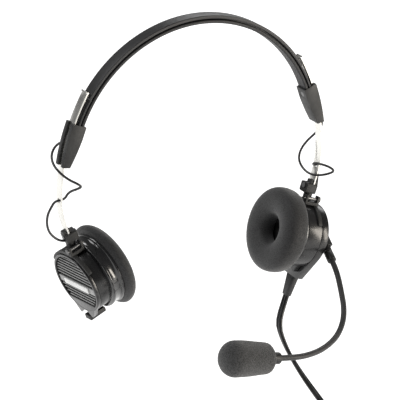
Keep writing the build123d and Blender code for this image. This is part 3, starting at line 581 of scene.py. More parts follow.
def finish_of(name, colour, second, effect, values, depth, roughness, sockets=None):
    """A principled finish. The effect's mask runs from colour to second, and over roughness."""
    known = bpy.data.materials.get(name)
    if known:
        return known
    material = bpy.data.materials.new(name)
    material.use_nodes = True
    tree = material.node_tree
    shader = tree.nodes["Principled BSDF"]
    where = tree.nodes.new("ShaderNodeTexCoord").outputs["Object"]
    made = tree.nodes.new("ShaderNodeGroup")
    made.node_tree = bpy.data.node_groups.get(effect) or GROUPS[effect]()
    tree.links.new(where, made.inputs["Where"])
    for socket, value in values.items():
        made.inputs[socket].default_value = value
    height, mask = made.outputs[0], made.outputs[1]
    tone = tree.nodes.new("ShaderNodeMix")
    tone.data_type = "RGBA"
    tree.links.new(mask, tone.inputs["Factor"])
    tone.inputs["A"].default_value = (*colour, 1.0)
    tone.inputs["B"].default_value = (*second, 1.0)
    tree.links.new(tone.outputs["Result"], shader.inputs["Base Color"])
    rough = tree.nodes.new("ShaderNodeMapRange")
    tree.links.new(mask, rough.inputs["Value"])
    rough.inputs["To Min"].default_value = roughness[0]
    rough.inputs["To Max"].default_value = roughness[1]
    tree.links.new(rough.outputs["Result"], shader.inputs["Roughness"])
    bump = tree.nodes.new("ShaderNodeBump")
    bump.inputs["Strength"].default_value = 1.0
    bump.inputs["Distance"].default_value = depth
    tree.links.new(height, bump.inputs["Height"])
    tree.links.new(bump.outputs["Normal"], shader.inputs["Normal"])
    for socket, value in (sockets or {}).items():
        shader.inputs[socket].default_value = value
    return material


def shade(colour, factor):
    return tuple(min(1.0, channel * factor) for channel in colour)


def gloss_black():
    base = colours().gloss_black
    return finish_of(
        "Gloss Black", base, shade(base, 1.5), "Moulded Grain", {"Scale": 900.0, "Smudge": 55.0},
        0.002 * MM, (0.24, 0.34), {"Coat Weight": 0.15, "Coat Roughness": 0.12},
    )


def flange_gloss():
    base = colours().gloss_black
    return finish_of(
        "Flange Gloss", base, shade(base, 1.6), "Moulded Grain", {"Scale": 700.0, "Smudge": 75.0},
        0.0015 * MM, (0.14, 0.24), {"Coat Weight": 0.5, "Coat Roughness": 0.08},
    )


def grille_gloss():
    base = colours().slats
    return finish_of(
        "Grille Slats", base, shade(base, 0.7), "Moulded Grain", {"Scale": 1500.0, "Smudge": 120.0},
        0.003 * MM, (0.26, 0.4), {"Coat Weight": 0.4, "Coat Roughness": 0.15},
    )


def satin_black():
    base = colours().satin_black
    return finish_of(
        "Satin Black", base, shade(base, 1.6), "Moulded Grain", {"Scale": 2600.0, "Smudge": 40.0},
        0.012 * MM, (0.34, 0.46),
    )


def moulded_grey():
    base = colours().moulded_grey
    return finish_of(
        "Moulded Grey", base, shade(base, 1.35), "Moulded Grain", {"Scale": 3200.0, "Smudge": 90.0},
        0.02 * MM, (0.6, 0.5),
    )


def matte_black():
    base = shade(colours().moulded_grey, 0.45)
    return finish_of(
        "Matte Black", base, shade(base, 1.5), "Moulded Grain", {"Scale": 3000.0, "Smudge": 80.0},
        0.02 * MM, (0.52, 0.42),
    )


def dish_black():
    base = shade(colours().moulded_grey, 0.2)
    return finish_of(
        "Dish Black", base, shade(base, 1.5), "Moulded Grain", {"Scale": 2000.0, "Smudge": 80.0},
        0.02 * MM, (0.8, 0.7), {"Specular IOR Level": 0.15},
    )


def leatherette():
    base = colours().leatherette
    # the grain's creases are darker than the pebbles: painted shade
    return finish_of(
        "Leatherette", shade(base, 1.2), shade(base, 0.7), "Leather Grain", {"Scale": 1500.0, "Fold": 140.0},
        0.045 * MM, (0.62, 0.8), {"Sheen Weight": 0.25, "Sheen Roughness": 0.5},
    )


def foam_black():
    base = colours().foam
    # the pits between the cells are much darker than the walls: painted shade; the patches are random tone
    return finish_of(
        "Foam", shade(base, 1.3), shade(base, 0.35), "Foam Cells", {"Scale": 1150.0, "Patch": 120.0},
        0.25 * MM, (0.92, 1.0), {"Sheen Weight": 0.2, "Sheen Roughness": 0.7},
    )


def band_vinyl():
    base = colours().satin_black
    return finish_of(
        "Band Vinyl", base, shade(base, 1.6), "Leather Grain", {"Scale": 2200.0, "Fold": 60.0},
        0.02 * MM, (0.4, 0.5),
    )


def pad_vinyl():
    base = colours().satin_black
    # the grain's creases are darker than the pebbles: painted shade
    return finish_of(
        "Pad Vinyl", shade(base, 1.5), shade(base, 1.1), "Leather Grain", {"Scale": 1700.0, "Fold": 90.0},
        0.03 * MM, (0.5, 0.65),
    )


def wire_sheath():
    base = shade(colours().sheath, 1.1)
    return finish_of(
        "Wire Sheath", base, shade(base, 1.7), "Moulded Grain", {"Scale": 1500.0, "Smudge": 110.0},
        0.006 * MM, (0.26, 0.4),
    )


def twin_sheath():
    base = colours().sheath
    return finish_of(
        "Twin Cord Sheath", base, shade(base, 1.9), "Moulded Grain", {"Scale": 1400.0, "Smudge": 130.0},
        0.008 * MM, (0.28, 0.42),
    )


def soft_rubber():
    base = shade(colours().sheath, 1.8)
    return finish_of(
        "Soft Rubber", base, shade(base, 1.4), "Moulded Grain", {"Scale": 2400.0, "Smudge": 100.0},
        0.015 * MM, (0.5, 0.62),
    )


def bright_steel():
    base = colours().steel
    return finish_of(
        "Bright Steel", base, shade(base, 0.9), "Brushed Lines", {"Stretch": (60.0, 5000.0, 60.0)},
        0.0015 * MM, (0.2, 0.34), {"Metallic": 1.0},
    )


def spring_steel():
    return finish_of(
        "Spring Steel", (0.42, 0.42, 0.43), (0.3, 0.3, 0.31), "Brushed Lines",
        {"Stretch": (60.0, 4000.0, 60.0)}, 0.003 * MM, (0.3, 0.5), {"Metallic": 1.0},
    )


def pin_steel():
    return finish_of(
        "Pin Steel", (0.2, 0.2, 0.2), (0.12, 0.12, 0.12), "Brushed Lines",
        {"Stretch": (900.0, 900.0, 900.0)}, 0.002 * MM, (0.35, 0.5), {"Metallic": 1.0},
    )


def plated():
    return finish_of(
        "Nickel Plate", (0.68, 0.65, 0.58), (0.58, 0.55, 0.48), "Brushed Lines",
        {"Stretch": (900.0, 900.0, 900.0)}, 0.001 * MM, (0.16, 0.3), {"Metallic": 1.0},
    )


def cone_film():
    return finish_of(
        "Cone Film", (0.5, 0.46, 0.36), (0.42, 0.38, 0.3), "Moulded Grain", {"Scale": 600.0, "Smudge": 90.0},
        0.004 * MM, (0.35, 0.5),
    )


def plain_plate():
    base = colours().plate
    return finish_of(
        "Blank Plate", base, shade(base, 0.86), "Moulded Grain", {"Scale": 1800.0, "Smudge": 130.0},
        0.006 * MM, (0.55, 0.7),
    )


FINISHES = {
    "pad_vinyl": pad_vinyl,
    "spring_steel": spring_steel,
    "band_cover": band_vinyl,
    "wire_sheath": wire_sheath,
    "block_plastic": moulded_grey,
    "black_rubber": soft_rubber,
    "bright_steel": bright_steel,
    "clevis_plastic": moulded_grey,
    "case_plastic": gloss_black,
    "inner_plastic": matte_black,
    "magnet_steel": spring_steel,
    "cone_film": cone_film,
    "plated_brass": plated,
    "screw_steel": spring_steel,
    "cushion_leatherette": leatherette,
    "label_print": plain_plate,
    "foam": foam_black,
    "plug_plastic": satin_black,
}


# ---- headband ----------------------------------------------------------------------------------
class Bar:
    """A bar's section with rounded corners: width across, and from 0 to height outwards."""

    def __init__(self, width, height, corner, steps=20, crown=0.0):
        self.half = width / 2 - corner
        self.height = height
        self.corner = corner
        self.steps = steps
        self.crown = crown

    def __call__(self, turn):
        step = math.tau / self.steps
        turn = (turn + step / 2) % math.tau
        quarter = int(turn / (math.pi / 2) + 1e-6) % 4
        inside = (turn - quarter * math.pi / 2 - step / 2) / (math.pi / 2 - step) * math.pi / 2
        side = 1 if quarter in (0, 3) else -1
        upper = quarter in (0, 1)
        lean = quarter * math.pi / 2 + inside
        y = side * self.half + self.corner * math.cos(lean)
        z = (self.height - self.corner if upper else self.corner) + self.corner * math.sin(lean)
        return y, z


def arc_frames(radius, turns, height=lambda turn: 1.0, centre=(0.0, BAND_CENTRE)):
    """Frames on an arc about the Y direction: X along it, Y across, Z outwards."""
    made = []
    for turn in turns:
        out = Vector((math.sin(turn), 0, math.cos(turn)))
        way = Vector((math.cos(turn), 0, -math.sin(turn)))
        place = Matrix.Translation(Vector((centre[0], 0, centre[1])) + out * radius)
        axes = Matrix((way, Vector((0, 1, 0)), out)).transposed().to_4x4()
        made.append(place @ axes @ Matrix.Diagonal((1, 1, height(turn), 1)))
    return made


def spaced(first, last, count):
    return [first + (last - first) * i / count for i in range(count + 1)]


def headband_cover():
    thick = COVER_OUTER - COVER_INNER
    thin = RECESS_OUTER - COVER_INNER
    step = 0.3 * MM / COVER_OUTER

    def height(turn):
        over = abs(turn) - COVER_FULL_TURN
        return 1.0 if over < 0 else thin / thick

    turns = (
        spaced(-BAND_END_TURN, -COVER_FULL_TURN - step, 12)
        + spaced(-COVER_FULL_TURN + step, COVER_FULL_TURN - step, 110)
        + spaced(COVER_FULL_TURN + step, BAND_END_TURN, 12)
    )
    bar = Bar(BAND_WIDTH, thick, edges().cover, 28)
    return swept(arc_frames(COVER_INNER, turns, height), bar)


def headband_pad():
    thick = PAD_OUTER - PAD_INNER
    bar = Bar(BAND_WIDTH, thick, 0.8 * MM, 28)
    end = math.radians(73.0)
    return swept(arc_frames(PAD_INNER, spaced(-end, end, 130)), bar)


# ---- cases and ear pieces ----------------------------------------------------------------------
def case_ring(side):
    """The case's wall: the left has an outer ring with a rolled rim, the right runs on to its housing."""
    ease = edges().case
    front, back = CASE_FRONT, CASE_BACK
    inner, seam = 18.9 * MM, 13.9 * MM
    gap, sunk = 0.16 * MM, 0.45 * MM
    lip = 0.22 * MM
    if side == "left":
        outer = CASE_RADIUS
        points = [
            (front, outer),
            (seam - gap - lip, outer),
            (seam - gap, outer - lip * 0.6),
            (seam - gap, outer - sunk),
            (seam + gap, outer - sunk),
            (seam + gap, outer - lip * 0.4),
            (seam + gap + lip, outer + 0.02 * MM),
            (back - ease, outer + 0.02 * MM),
            (back - ease * 0.62, outer - ease * 0.1),
            (back - ease * 0.29, outer - ease * 0.29),
            (back - ease * 0.1, outer - ease * 0.62),
        ]
    else:
        outer = RIGHT_CASE_RADIUS
        points = [
            (front, outer - 0.5 * MM),
            (front + 0.2 * MM, outer - 0.15 * MM),
            (front + 0.7 * MM, outer),
            (back - lip, outer),
            (back, outer - lip),
        ]
    points += [
        (back, outer - ease),
        (back, inner + ease),
        (back - ease * 0.15, inner + ease * 0.5),
        (back - ease * 0.5, inner + ease * 0.15),
        (back - ease, inner),
        (14.4 * MM, inner),
        (14.3 * MM, inner - 1.0 * MM),
        (13.4 * MM, inner - 1.0 * MM),
        (13.3 * MM, inner),
        (front, inner),
    ]
    return turned(points, 128)


def case_lip():
    """The wedge under a case, down to a flat foot that the hook or the housing stands on."""
    reach = math.hypot(LIP_HALF_WIDTH, LIP_DEPTH)
    radius = CASE_RADIUS - 0.1 * MM
    lean = math.atan2(LIP_HALF_WIDTH, LIP_DEPTH) + math.acos(radius / reach)
    touch = (radius * math.sin(lean), -radius * math.cos(lean))
    outline = [(-touch[0], touch[1]), (-LIP_HALF_WIDTH, -LIP_DEPTH), (LIP_HALF_WIDTH, -LIP_DEPTH), touch]
    outline += [(12.0 * MM, -15.3 * MM), (0.0, -19.4 * MM), (-12.0 * MM, -15.3 * MM)]
    bm = bmesh.new()
    corners = [bm.verts.new((LIP_FRONT, y, z)) for y, z in outline]
    drawn = bmesh.ops.contextual_create(bm, geom=corners)
    out = bmesh.ops.extrude_face_region(bm, geom=drawn["faces"])
    verts = [g for g in out["geom"] if isinstance(g, bmesh.types.BMVert)]
    bmesh.ops.translate(bm, verts=verts, vec=(CASE_BACK - LIP_FRONT - 0.05 * MM, 0, 0))
    bmesh.ops.recalc_face_normals(bm, faces=bm.faces)
    return round_edges(bm, 0.35 * MM, 3, 50)


def flange_ring(side):
    """The cushion's flange: a lip over a hollowed neck; the left one is a cup."""
    r = FLANGE_RADIUS
    low = -3.0 * MM if side == "left" else 0.0
    inner = 22.0 * MM if side == "left" else 19.2 * MM
    points = [
        (low, inner),
        (low, r - 0.35 * MM),
        (low + 0.12 * MM, r - 0.1 * MM),
        (low + 0.4 * MM, r),
        (low + 1.3 * MM, r),
        (low + 1.7 * MM, r - 0.15 * MM),
        (low + 2.0 * MM, r - 0.6 * MM),
        (low + 2.6 * MM, r - 1.0 * MM),
    ]
    if side == "left":
        points += [(0.6 * MM, r - 1.15 * MM), (2.2 * MM, r - 1.0 * MM), (3.4 * MM, r - 0.75 * MM)]
    else:
        points += [(3.4 * MM, r - 1.0 * MM)]
    brim = 0.0 if side == "left" else 1.3 * MM
    points += [
        (4.2 * MM, r - 0.4 * MM - brim),
        (4.8 * MM, r - 0.25 * MM - brim),
        (5.6 * MM, r - 0.5 * MM - brim),
        (CASE_FRONT, r - 1.1 * MM - brim),
        (CASE_FRONT, 18.4 * MM),
        (4.2 * MM, 18.4 * MM),
        (4.2 * MM, 19.2 * MM),
    ]
    if side == "left":
        points += [(0.0, 19.2 * MM), (0.0, inner)]
    return turned(points, 128)


LABEL_UP = -1.6 * MM
SLAT_PITCH = 2.3 * MM
SLAT_WIDTH = 0.85 * MM
SLAT_ROWS = range(-7, 8)
GRILLE_REACH = 18.6 * MM
SLAT_TIP = math.radians(-24.0)


def grille_dish():
    """The dark dish behind the slats."""
    return turned(
        [
            (14.45 * MM, 0.0001 * MM),
            (14.45 * MM, 18.85 * MM),
            (15.75 * MM, 18.85 * MM),
            (15.95 * MM, 18.65 * MM),
            (15.95 * MM, 17.95 * MM),
            (15.7 * MM, 17.7 * MM),
            (14.75 * MM, 17.6 * MM),
            (14.75 * MM, 0.0001 * MM),
        ],
        96,
    )


def grille_slats():
    """Slats with rounded edges across the dish, tipped so that their upper edges stand proud."""
    bm = bmesh.new()
    # X along the slat, Y up the phone, Z out through the face
    axes = Matrix(((0, 1, 0), (0, 0, 1), (1, 0, 0))).transposed().to_4x4()
    for row in SLAT_ROWS:
        up = LABEL_UP + row * SLAT_PITCH + math.copysign(2.05 * MM, row) * (row != 0)
        if abs(up) > GRILLE_REACH - 1.4 * MM:
            continue
        section = Bar(SLAT_WIDTH if row else 4.6 * MM, 1.45 * MM, 0.3 * MM, 16)
        half = math.sqrt((GRILLE_REACH - 0.6 * MM) ** 2 - up * up)
        tip = Matrix.Rotation(SLAT_TIP * (row != 0), 4, "X")
        frames = [
            Matrix.Translation((14.62 * MM, along_y, up)) @ axes @ tip for along_y in spaced(-half, half, 12)
        ]
        slat = swept(frames, section)
        mesh = bpy.data.meshes.new("slat")
        slat.to_mesh(mesh)
        slat.free()
        bm.from_mesh(mesh)
        bpy.data.meshes.remove(mesh)
    return bm


def cushion_profile(side):
    """A cushion's section: crowned outside, a funnel-shaped bore and a flat seat.

    The left one sits in its flange's cup; the right one's skirt is drawn over the flange's edge.
    """
    s = soft()
    r, depth, bore = s.cushion_radius, s.cushion_depth, s.bore_radius
    if side == "left":
        back = [
            (-0.15 * MM, 21.6 * MM),
            (-3.1 * MM, 21.7 * MM),
            (-3.35 * MM, 23.4 * MM),
            (-3.3 * MM, r - 2.2 * MM),
            (-4.0 * MM, r - 0.9 * MM),
            (-5.4 * MM, r - 0.15 * MM),
        ]
    else:
        back = [
            (-0.15 * MM, 23.3 * MM),
            (0.1 * MM, 23.85 * MM),
            (2.2 * MM, 24.0 * MM),
            (2.8 * MM, 24.7 * MM),
            (2.6 * MM, r - 1.6 * MM),
            (1.2 * MM, r - 0.6 * MM),
            (-1.4 * MM, r - 0.15 * MM),
            (-4.2 * MM, r),
        ]
    face = [
        (-6.8 * MM, r - 0.35 * MM),
        (-8.6 * MM, r - 1.15 * MM),
        (-10.2 * MM, r - 2.7 * MM),
        (-11.2 * MM, r - 4.9 * MM),
        (-depth + 0.3 * MM, r - 7.8 * MM),
        (-depth + 0.2 * MM, r - 11.2 * MM),
        (-11.3 * MM, bore + 5.0 * MM),
        (-10.3 * MM, bore + 2.9 * MM),
        (-8.6 * MM, bore + 1.3 * MM),
        (-6.2 * MM, bore + 0.5 * MM),
        (-3.4 * MM, bore + 0.1 * MM),
        (-0.9 * MM, bore + 0.2 * MM),
        (-0.2 * MM, bore + 1.2 * MM),
        (-0.15 * MM, 13.5 * MM),
        (-0.15 * MM, 17.5 * MM),
    ]
    return back + face


CLOTH_SCALE = 10.0
CLOTH_FRAMES = 20
CLOTH_CAP = 0.7 * MM


def puffed(made):
    """Lets a piece's cover swell against its own stitching, at ten times its size."""
    start = [vertex.co.copy() for vertex in made.data.vertices]
    made.data.transform(Matrix.Scale(CLOTH_SCALE, 4))
    cloth = made.modifiers.new("swell", "CLOTH")
    cloth.settings.quality = 5
    cloth.settings.mass = 0.2
    cloth.settings.tension_stiffness = 18
    cloth.settings.compression_stiffness = 18
    cloth.settings.bending_stiffness = 1.5
    cloth.settings.use_pressure = True
    cloth.settings.uniform_pressure_force = 3.0
    cloth.settings.effector_weights.gravity = 0
    cloth.point_cache.frame_start = 1
    cloth.point_cache.frame_end = CLOTH_FRAMES
    scene = bpy.context.scene
    for number in range(1, CLOTH_FRAMES + 1):
        scene.frame_set(number)
    seen = made.evaluated_get(bpy.context.evaluated_depsgraph_get())
    mesh = seen.to_mesh()
    swollen = [vertex.co / CLOTH_SCALE for vertex in mesh.vertices]
    seen.to_mesh_clear()
    made.modifiers.remove(cloth)
    scene.frame_set(1)
    for vertex, was, now in zip(made.data.vertices, start, swollen):
        moved = now - was
        if moved.length > CLOTH_CAP:
            moved *= CLOTH_CAP / moved.length
        vertex.co = was + moved
    made.data.update()


def subdivided(made, levels=1):
    finer = made.modifiers.new("Subdivision", "SUBSURF")
    finer.levels = finer.render_levels = levels


def ear_cushion(side):
    node = f"{side}_ear_cushion"
    bm = turned(cushion_profile(side), 72)
    made = piece(f"{side}_cushion_cover", bm, leatherette(), None, (node,))
    puffed(made)
    made.data.transform(PHONE[side])
    if PHONE[side].determinant() < 0:
        made.data.flip_normals()
    made.data.shade_smooth()
    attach(made, NODE_BODY[node])
    subdivided(made)


# ---- microphone --------------------------------------------------------------------------------
def windscreen():
    s = soft()
    r, length, pore = s.foam_radius, s.foam_length, s.foam_pore
    shoulder = length - r * 0.88
    rim, edge = r * 0.70, r * 0.83
    points = [(0.0, 0.0), (0.0, rim - 1.0 * MM), (0.3 * MM, rim), (1.8 * MM, edge), (3.4 * MM, r * 0.865)]
    points += [(length * 0.25, r * 0.91), (length * 0.42, r * 0.955), (length * 0.6, r * 0.99)]
    for i in range(0, 9):
        a = math.radians(i * 10)
        points.append((shoulder + r * 0.88 * math.sin(a), r * math.cos(a)))
    points.append((length, 0.0))
    line = [points[0]]
    for (x0, r0), (x1, r1) in zip(points, points[1:]):
        count = max(1, round(math.hypot(x1 - x0, r1 - r0) / (0.42 * MM)))
        line += [(x0 + (x1 - x0) * i / count, r0 + (r1 - r0) * i / count) for i in range(1, count + 1)]
    bm = bmesh.new()
    verts = [bm.verts.new((x, 0.0, radius)) for x, radius in line]
    rims = [bm.edges.new(pair) for pair in zip(verts, verts[1:])]
    bmesh.ops.spin(
        bm, geom=verts + rims, cent=(0, 0, 0), axis=(1, 0, 0), angle=math.tau, steps=170, use_merge=True
    )
    bmesh.ops.remove_doubles(bm, verts=bm.verts, dist=0.02 * MM)
    bmesh.ops.recalc_face_normals(bm, faces=bm.faces)
    bm.normal_update()
    moves = []
    for vertex in bm.verts:
        near = noise.voronoi(vertex.co / (1.05 * MM))[0]
        pit = min(1.0, max(0.0, (near[1] - near[0]) * 2.2))
        broad = noise.noise(vertex.co / (6.0 * MM))
        moves.append(vertex.normal * (pore * (0.5 - pit) + 0.12 * MM * broad))
    for vertex, move in zip(bm.verts, moves):
        vertex.co += move
    start = MIC_START + MIC_WAY * 7.6 * MM
    return placed(bm, along(start, MIC_WAY))


# ---- cords -------------------------------------------------------------------------------------
def polar(centre, radius, turn):
    turn = math.radians(turn)
    return Vector((centre.x + radius * math.sin(turn), 0, centre.z + radius * math.cos(turn)))


STRIP_CENTRE = Vector((-35.33, 0, -96.99)) * MM
STRIP_RADIUS = 127.2 * MM
BEND_RADIUS = 60.0 * MM
BEND_TURN = 88.0
BEND_CENTRE = polar(polar(STRIP_CENTRE, STRIP_RADIUS, BEND_TURN), -BEND_RADIUS, BEND_TURN)
SLIDE_OUT = {"left": 2.0 * MM, "right": 1.2 * MM}
WIRE_HOLE_TURN = {"left": 91.0, "right": 100.0}
WIRE_ENTRY = Vector((11.8, 0.0, 29.2)) * MM
WIRE_ENTRY_RISE = math.radians(12.0)
GLAND_REAR = polar(STRIP_CENTRE, 128.88 * MM - 5.2 * MM, 74.5) + Vector((0, 4.9 * MM, 0))
GLAND_LENGTH = 1.6 * MM
WIRE_ROUTES = {
    "left": mm(
        (0.7, 5.2, -0.7),
        (5.2, 6.2, -3.4),
        (9.5, 2.7, -6.8),
        (11.3, -2.7, -10.7),
        (10.1, -9.4, -14.3),
        (6.4, -14.6, -17.7),
        (1.6, -16.4, -20.4),
        (-1.0, -16.8, -22.6),
        (0.8, -14.2, -24.6),
        (2.8, -10.4, -26.8),
        (3.8, -7.2, -29.6),
    ),
    "right": mm(
        (0.5, 5.7, -0.5),
        (5.1, 7.5, -2.7),
        (9.9, 4.9, -6.1),
        (12.5, 0.3, -11.7),
        (12.9, -0.5, -18.5),
        (10.5, 3.5, -24.3),
        (6.7, 7.5, -30.3),
        (2.9, 8.9, -36.5),
        (0.5, 6.7, -42.1),
        (0.7, 1.3, -46.3),
        (2.1, -5.3, -48.1),
        (4.5, -12.3, -46.9),
        (7.7, -18.1, -44.3),
        (9.9, -21.3, -41.7),
        (7.7, -18.3, -39.5),
        (4.5, -13.5, -38.7),
        (2.7, -8.3, -39.3),
    ),
}
WIRE_FALLS = {
    "left": mm((12.6, -4.3, -36.7), (15.3, -3.3, -42.3), (15.7, -3.1, -49.3), (13.5, -3.7, -55.5)),
    "right": mm((8.5, -3.9, -45.5), (8.7, -3.9, -53.3)),
}


def unslid_phone(side):
    """A phone's axes with no swivel, on the right-hand side."""
    mirror = Matrix.Diagonal((1 if side == "right" else -1, 1, 1, 1))
    back = Matrix.Translation((PIVOT_OUT, 0, 0))
    turn = Matrix.Rotation(SWIVEL_AT_REST[side], 4, "Z")
    return mirror @ PHONE[side] @ back @ turn @ back.inverted()


def wire_route(side):
    turn = WIRE_HOLE_TURN[side]
    slide = SLIDE_OUT[side] / STRIP_RADIUS
    slid = (
        Matrix.Translation(STRIP_CENTRE) @ Matrix.Rotation(slide, 4, "Y") @ Matrix.Translation(-STRIP_CENTRE)
    )
    hole = slid @ polar(BEND_CENTRE, BEND_RADIUS, turn)
    way = Vector((math.sin(math.radians(turn)), 0, math.cos(math.radians(turn))))
    phone = unslid_phone(side)
    entry = phone @ WIRE_ENTRY
    out = phone.to_3x3() @ Vector((math.cos(WIRE_ENTRY_RISE), 0, math.sin(WIRE_ENTRY_RISE)))
    points = [GLAND_REAR + Vector((0, GLAND_LENGTH, 0))]
    points += [GLAND_REAR + step for step in WIRE_ROUTES[side]]
    points += [hole - way * 3.4 * MM, hole + way * 3.0 * MM]
    points += [GLAND_REAR + step for step in WIRE_FALLS[side]]
    points += [entry + out * 4.0 * MM, entry]
    sign = 1 if side == "right" else -1
    return [Vector((sign * p.x, p.y, p.z)) for p in points]


def lead_wire(side):
    line = smooth_line(wire_route(side), 5)
    node = f"{side}_lead_wire"
    bm = tube(line, WIRE_DIAMETER / 2, 12)
    made = piece(f"{side}_speaker_wire", bm, wire_sheath(), None, (node,))
    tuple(line[0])
    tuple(line[0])
    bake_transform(made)


def smoothstep(value):
    value = min(1.0, max(0.0, value))
    return value * value * (3 - 2 * value)


# the coil's turns by layer, top to bottom: the column that each turn lies in
COIL_TURNS = ((0, 1), (1, 0, -1), (-1, 0, 1))
COIL_START_TURN = math.radians(26.7)
COIL_END_TURN = math.radians(-90.0)
COIL_CHANGE = math.radians(45.0)


def coil_points():
    """Points of the wound cord, from where it comes in on top to where it leaves for the splitter.

    It winds clockwise seen from above, in columns side by side and layers on each other.
    """
    per_turn = cord_sizes().turn_points
    low = FLOOR + 0.6 * MM + 1.3 * MM
    stops = []
    for layer, columns in enumerate(COIL_TURNS):
        stops += [(column, 2 - layer) for column in columns]
    # whole turns end at the splitter's bearing; the first is only the part from the entry
    total = (len(stops) - 1) * math.tau + (COIL_START_TURN - COIL_END_TURN) % math.tau
    count = round(total / math.tau * per_turn)
    points = []
    for i in range(1, count + 1):
        gone = total * i / count
        turn = COIL_START_TURN - gone
        left = (total - gone) / math.tau
        index = len(stops) - 1 - min(len(stops) - 1, int(left + 1e-9))
        column, layer = stops[index]
        if index + 1 < len(stops):
            next_column, next_layer = stops[index + 1]
            into = left - int(left + 1e-9)
            share = smoothstep(1 - into * math.tau / COIL_CHANGE)
            column += (next_column - column) * share
            layer += (next_layer - layer) * share
        radius = (COIL_RADIUS + column * COIL_COLUMN) * 1.017
        points.append(
            Vector(
                (
                    COIL_CENTRE.x + radius * math.cos(turn),
                    COIL_CENTRE.y + radius * math.sin(turn),
                    low + layer * COIL_LAYER,
                )
            )
        )
    return points


def splitter_place():
    centre = Vector((SPLITTER_AT.x, SPLITTER_AT.y, FLOOR + 2.6 * MM))
    return Matrix.Translation(centre) @ Matrix.Rotation(SPLITTER_TURN, 4, "Z")


def main_route():
    points = LEAD_ROUTE + coil_points()
    face = splitter_place() @ Vector((SPLITTER_HALF, 0, 0))
    out = splitter_place().to_3x3() @ Vector((1, 0, 0))
    return points + [face + out * 4.0 * MM, face - out * 1.0 * MM]


def main_cord():
    line = smooth_line(main_route(), 3)
    lead = len(LEAD_ROUTE) * 3
    boot_across = PHONE["right"].to_3x3() @ Vector((0, 1, 0))

    def level_at(i, way):
        """Level across the cord on the floor, and across the boot where the cord leaves it."""
        level = way.cross(Vector((0, 0, 1)))
        if level.length < 1e-4:
            level = boot_across.copy()
        level.normalize()
        if level.dot(boot_across) < 0 and i < lead:
            level = -level
        share = smoothstep(i / lead * 1.15)
        return boot_across * (1 - share) + level * share

    sides = []
    last = None
    for i in range(len(line)):
        way = (line[min(i + 1, len(line) - 1)] - line[max(i - 1, 0)]).normalized()
        across = level_at(i, way)
        across = (across - way * across.dot(way)).normalized()
        if last is not None and across.dot(last) < 0:
            across = -across
        last = across
        sides.append(across)
    frames = frames_on(line, lambda i, way: sides[i])
    s = cord_sizes()
    bm = swept(frames, Twin(s.width, s.core))
    made = piece("twin_cord", bm, twin_sheath(), "right_phone", ("cord_lead", "cord_coil"))
    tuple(line[0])


def tail_exit(name, reach):
    across = 2.2 * MM if name == "headphone_plug" else -2.2 * MM
    return splitter_place() @ Vector((-SPLITTER_HALF - reach, -across, -2.6 * MM + 1.5 * MM))


def plug_start(name):
    """Where a plug's axis starts, at its rear, and its way."""
    start = PLUG_ENDS[name] + Vector((0, 0, FLOOR))
    before = TAIL_ROUTES[name][-1]
    return start, Vector((start.x - before.x, start.y - before.y, 0)).normalized()


def tail(name):
    start, way = plug_start(name)
    route = [tail_exit(name, 0.0), tail_exit(name, 6.0 * MM)]
    route += [point + Vector((0, 0, FLOOR)) for point in TAIL_ROUTES[name]]
    route += [start - way * 5.0 * MM, start]
    line = smooth_line(route, 4)
    made = piece(
        f"{name}_tail", tube(line, TAIL_DIAMETER / 2, 16), wire_sheath(), "right_phone", ("cord_tails",)
    )
    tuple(line[0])


DULL_PINS = (
    "block_rivets",
    "left_clevis_rivet",
    "right_clevis_rivet",
    "left_stop_pin",
    "right_stop_pin",
    "boom_clip",
)


# ---- operators ---------------------------------------------------------------------------------
class HEADSET_OT_headband(bpy.types.Operator):
    """Builds the headband's cover and its pad"""

    bl_idname = "headset.headband"
    bl_label = "Headband"

    def execute(self, context):
        piece("headband_cover", headband_cover(), band_vinyl(), "headband", ("headband_outer_cover",))
        pad = piece("headband_pad", headband_pad(), pad_vinyl(), "headband", ("headband_inner_pad",))
        return {"FINISHED"}


class HEADSET_OT_blocks(bpy.types.Operator):
    """Builds the moulded slider blocks with their collars and leaves"""

    bl_idname = "headset.blocks"
    bl_label = "Slider blocks"

    def execute(self, context):
        for side in SIDES:
            eased(f"{side}_slider_block", edges().block, moulded_grey())
        return {"FINISHED"}


class HEADSET_OT_sliders(bpy.types.Operator):
    """Builds the steel strips and the clevises at their ends"""

    bl_idname = "headset.sliders"
    bl_label = "Strips and clevises"

    def execute(self, context):
        for side in SIDES:
            eased(f"{side}_slider_strip", edges().strip, bright_steel(), 2)
            eased(f"{side}_clevis", edges().clevis, moulded_grey())
        return {"FINISHED"}


class HEADSET_OT_phones(bpy.types.Operator):
    """Builds the yokes, cases, flanges, grille, blank plate and hook of both phones"""

    bl_idname = "headset.phones"
    bl_label = "Phones"

    def execute(self, context):
        for side in SIDES:
            eased(f"{side}_yoke", edges().clevis, moulded_grey())
            ring = placed(case_ring(side), PHONE[side])
            piece(f"{side}_case_ring", ring, gloss_black(), f"{side}_phone", (f"{side}_case",))
            lip = placed(case_lip(), PHONE[side])
            piece(f"{side}_case_lip", lip, gloss_black(), f"{side}_phone", (f"{side}_case",))
            flange = placed(flange_ring(side), PHONE[side])
            piece(f"{side}_flange_ring", flange, flange_gloss(), f"{side}_phone", (f"{side}_flange",))
        dish = placed(grille_dish(), PHONE["left"])
        piece("grille_dish", dish, dish_black(), "left_phone", ("left_grille",))
        slats = placed(grille_slats(), PHONE["left"])
        piece("grille_slats", slats, grille_gloss(), "left_phone", ("left_grille",))
        eased("label_plate", edges().grille, plain_plate())
        eased("cord_hook", edges().clevis, matte_black())
        return {"FINISHED"}


class HEADSET_OT_cushions(bpy.types.Operator):
    """Sews the two ear cushions and lets their covers swell"""

    bl_idname = "headset.cushions"
    bl_label = "Ear cushions"

    def execute(self, context):
        for side in SIDES:
            ear_cushion(side)
        return {"FINISHED"}


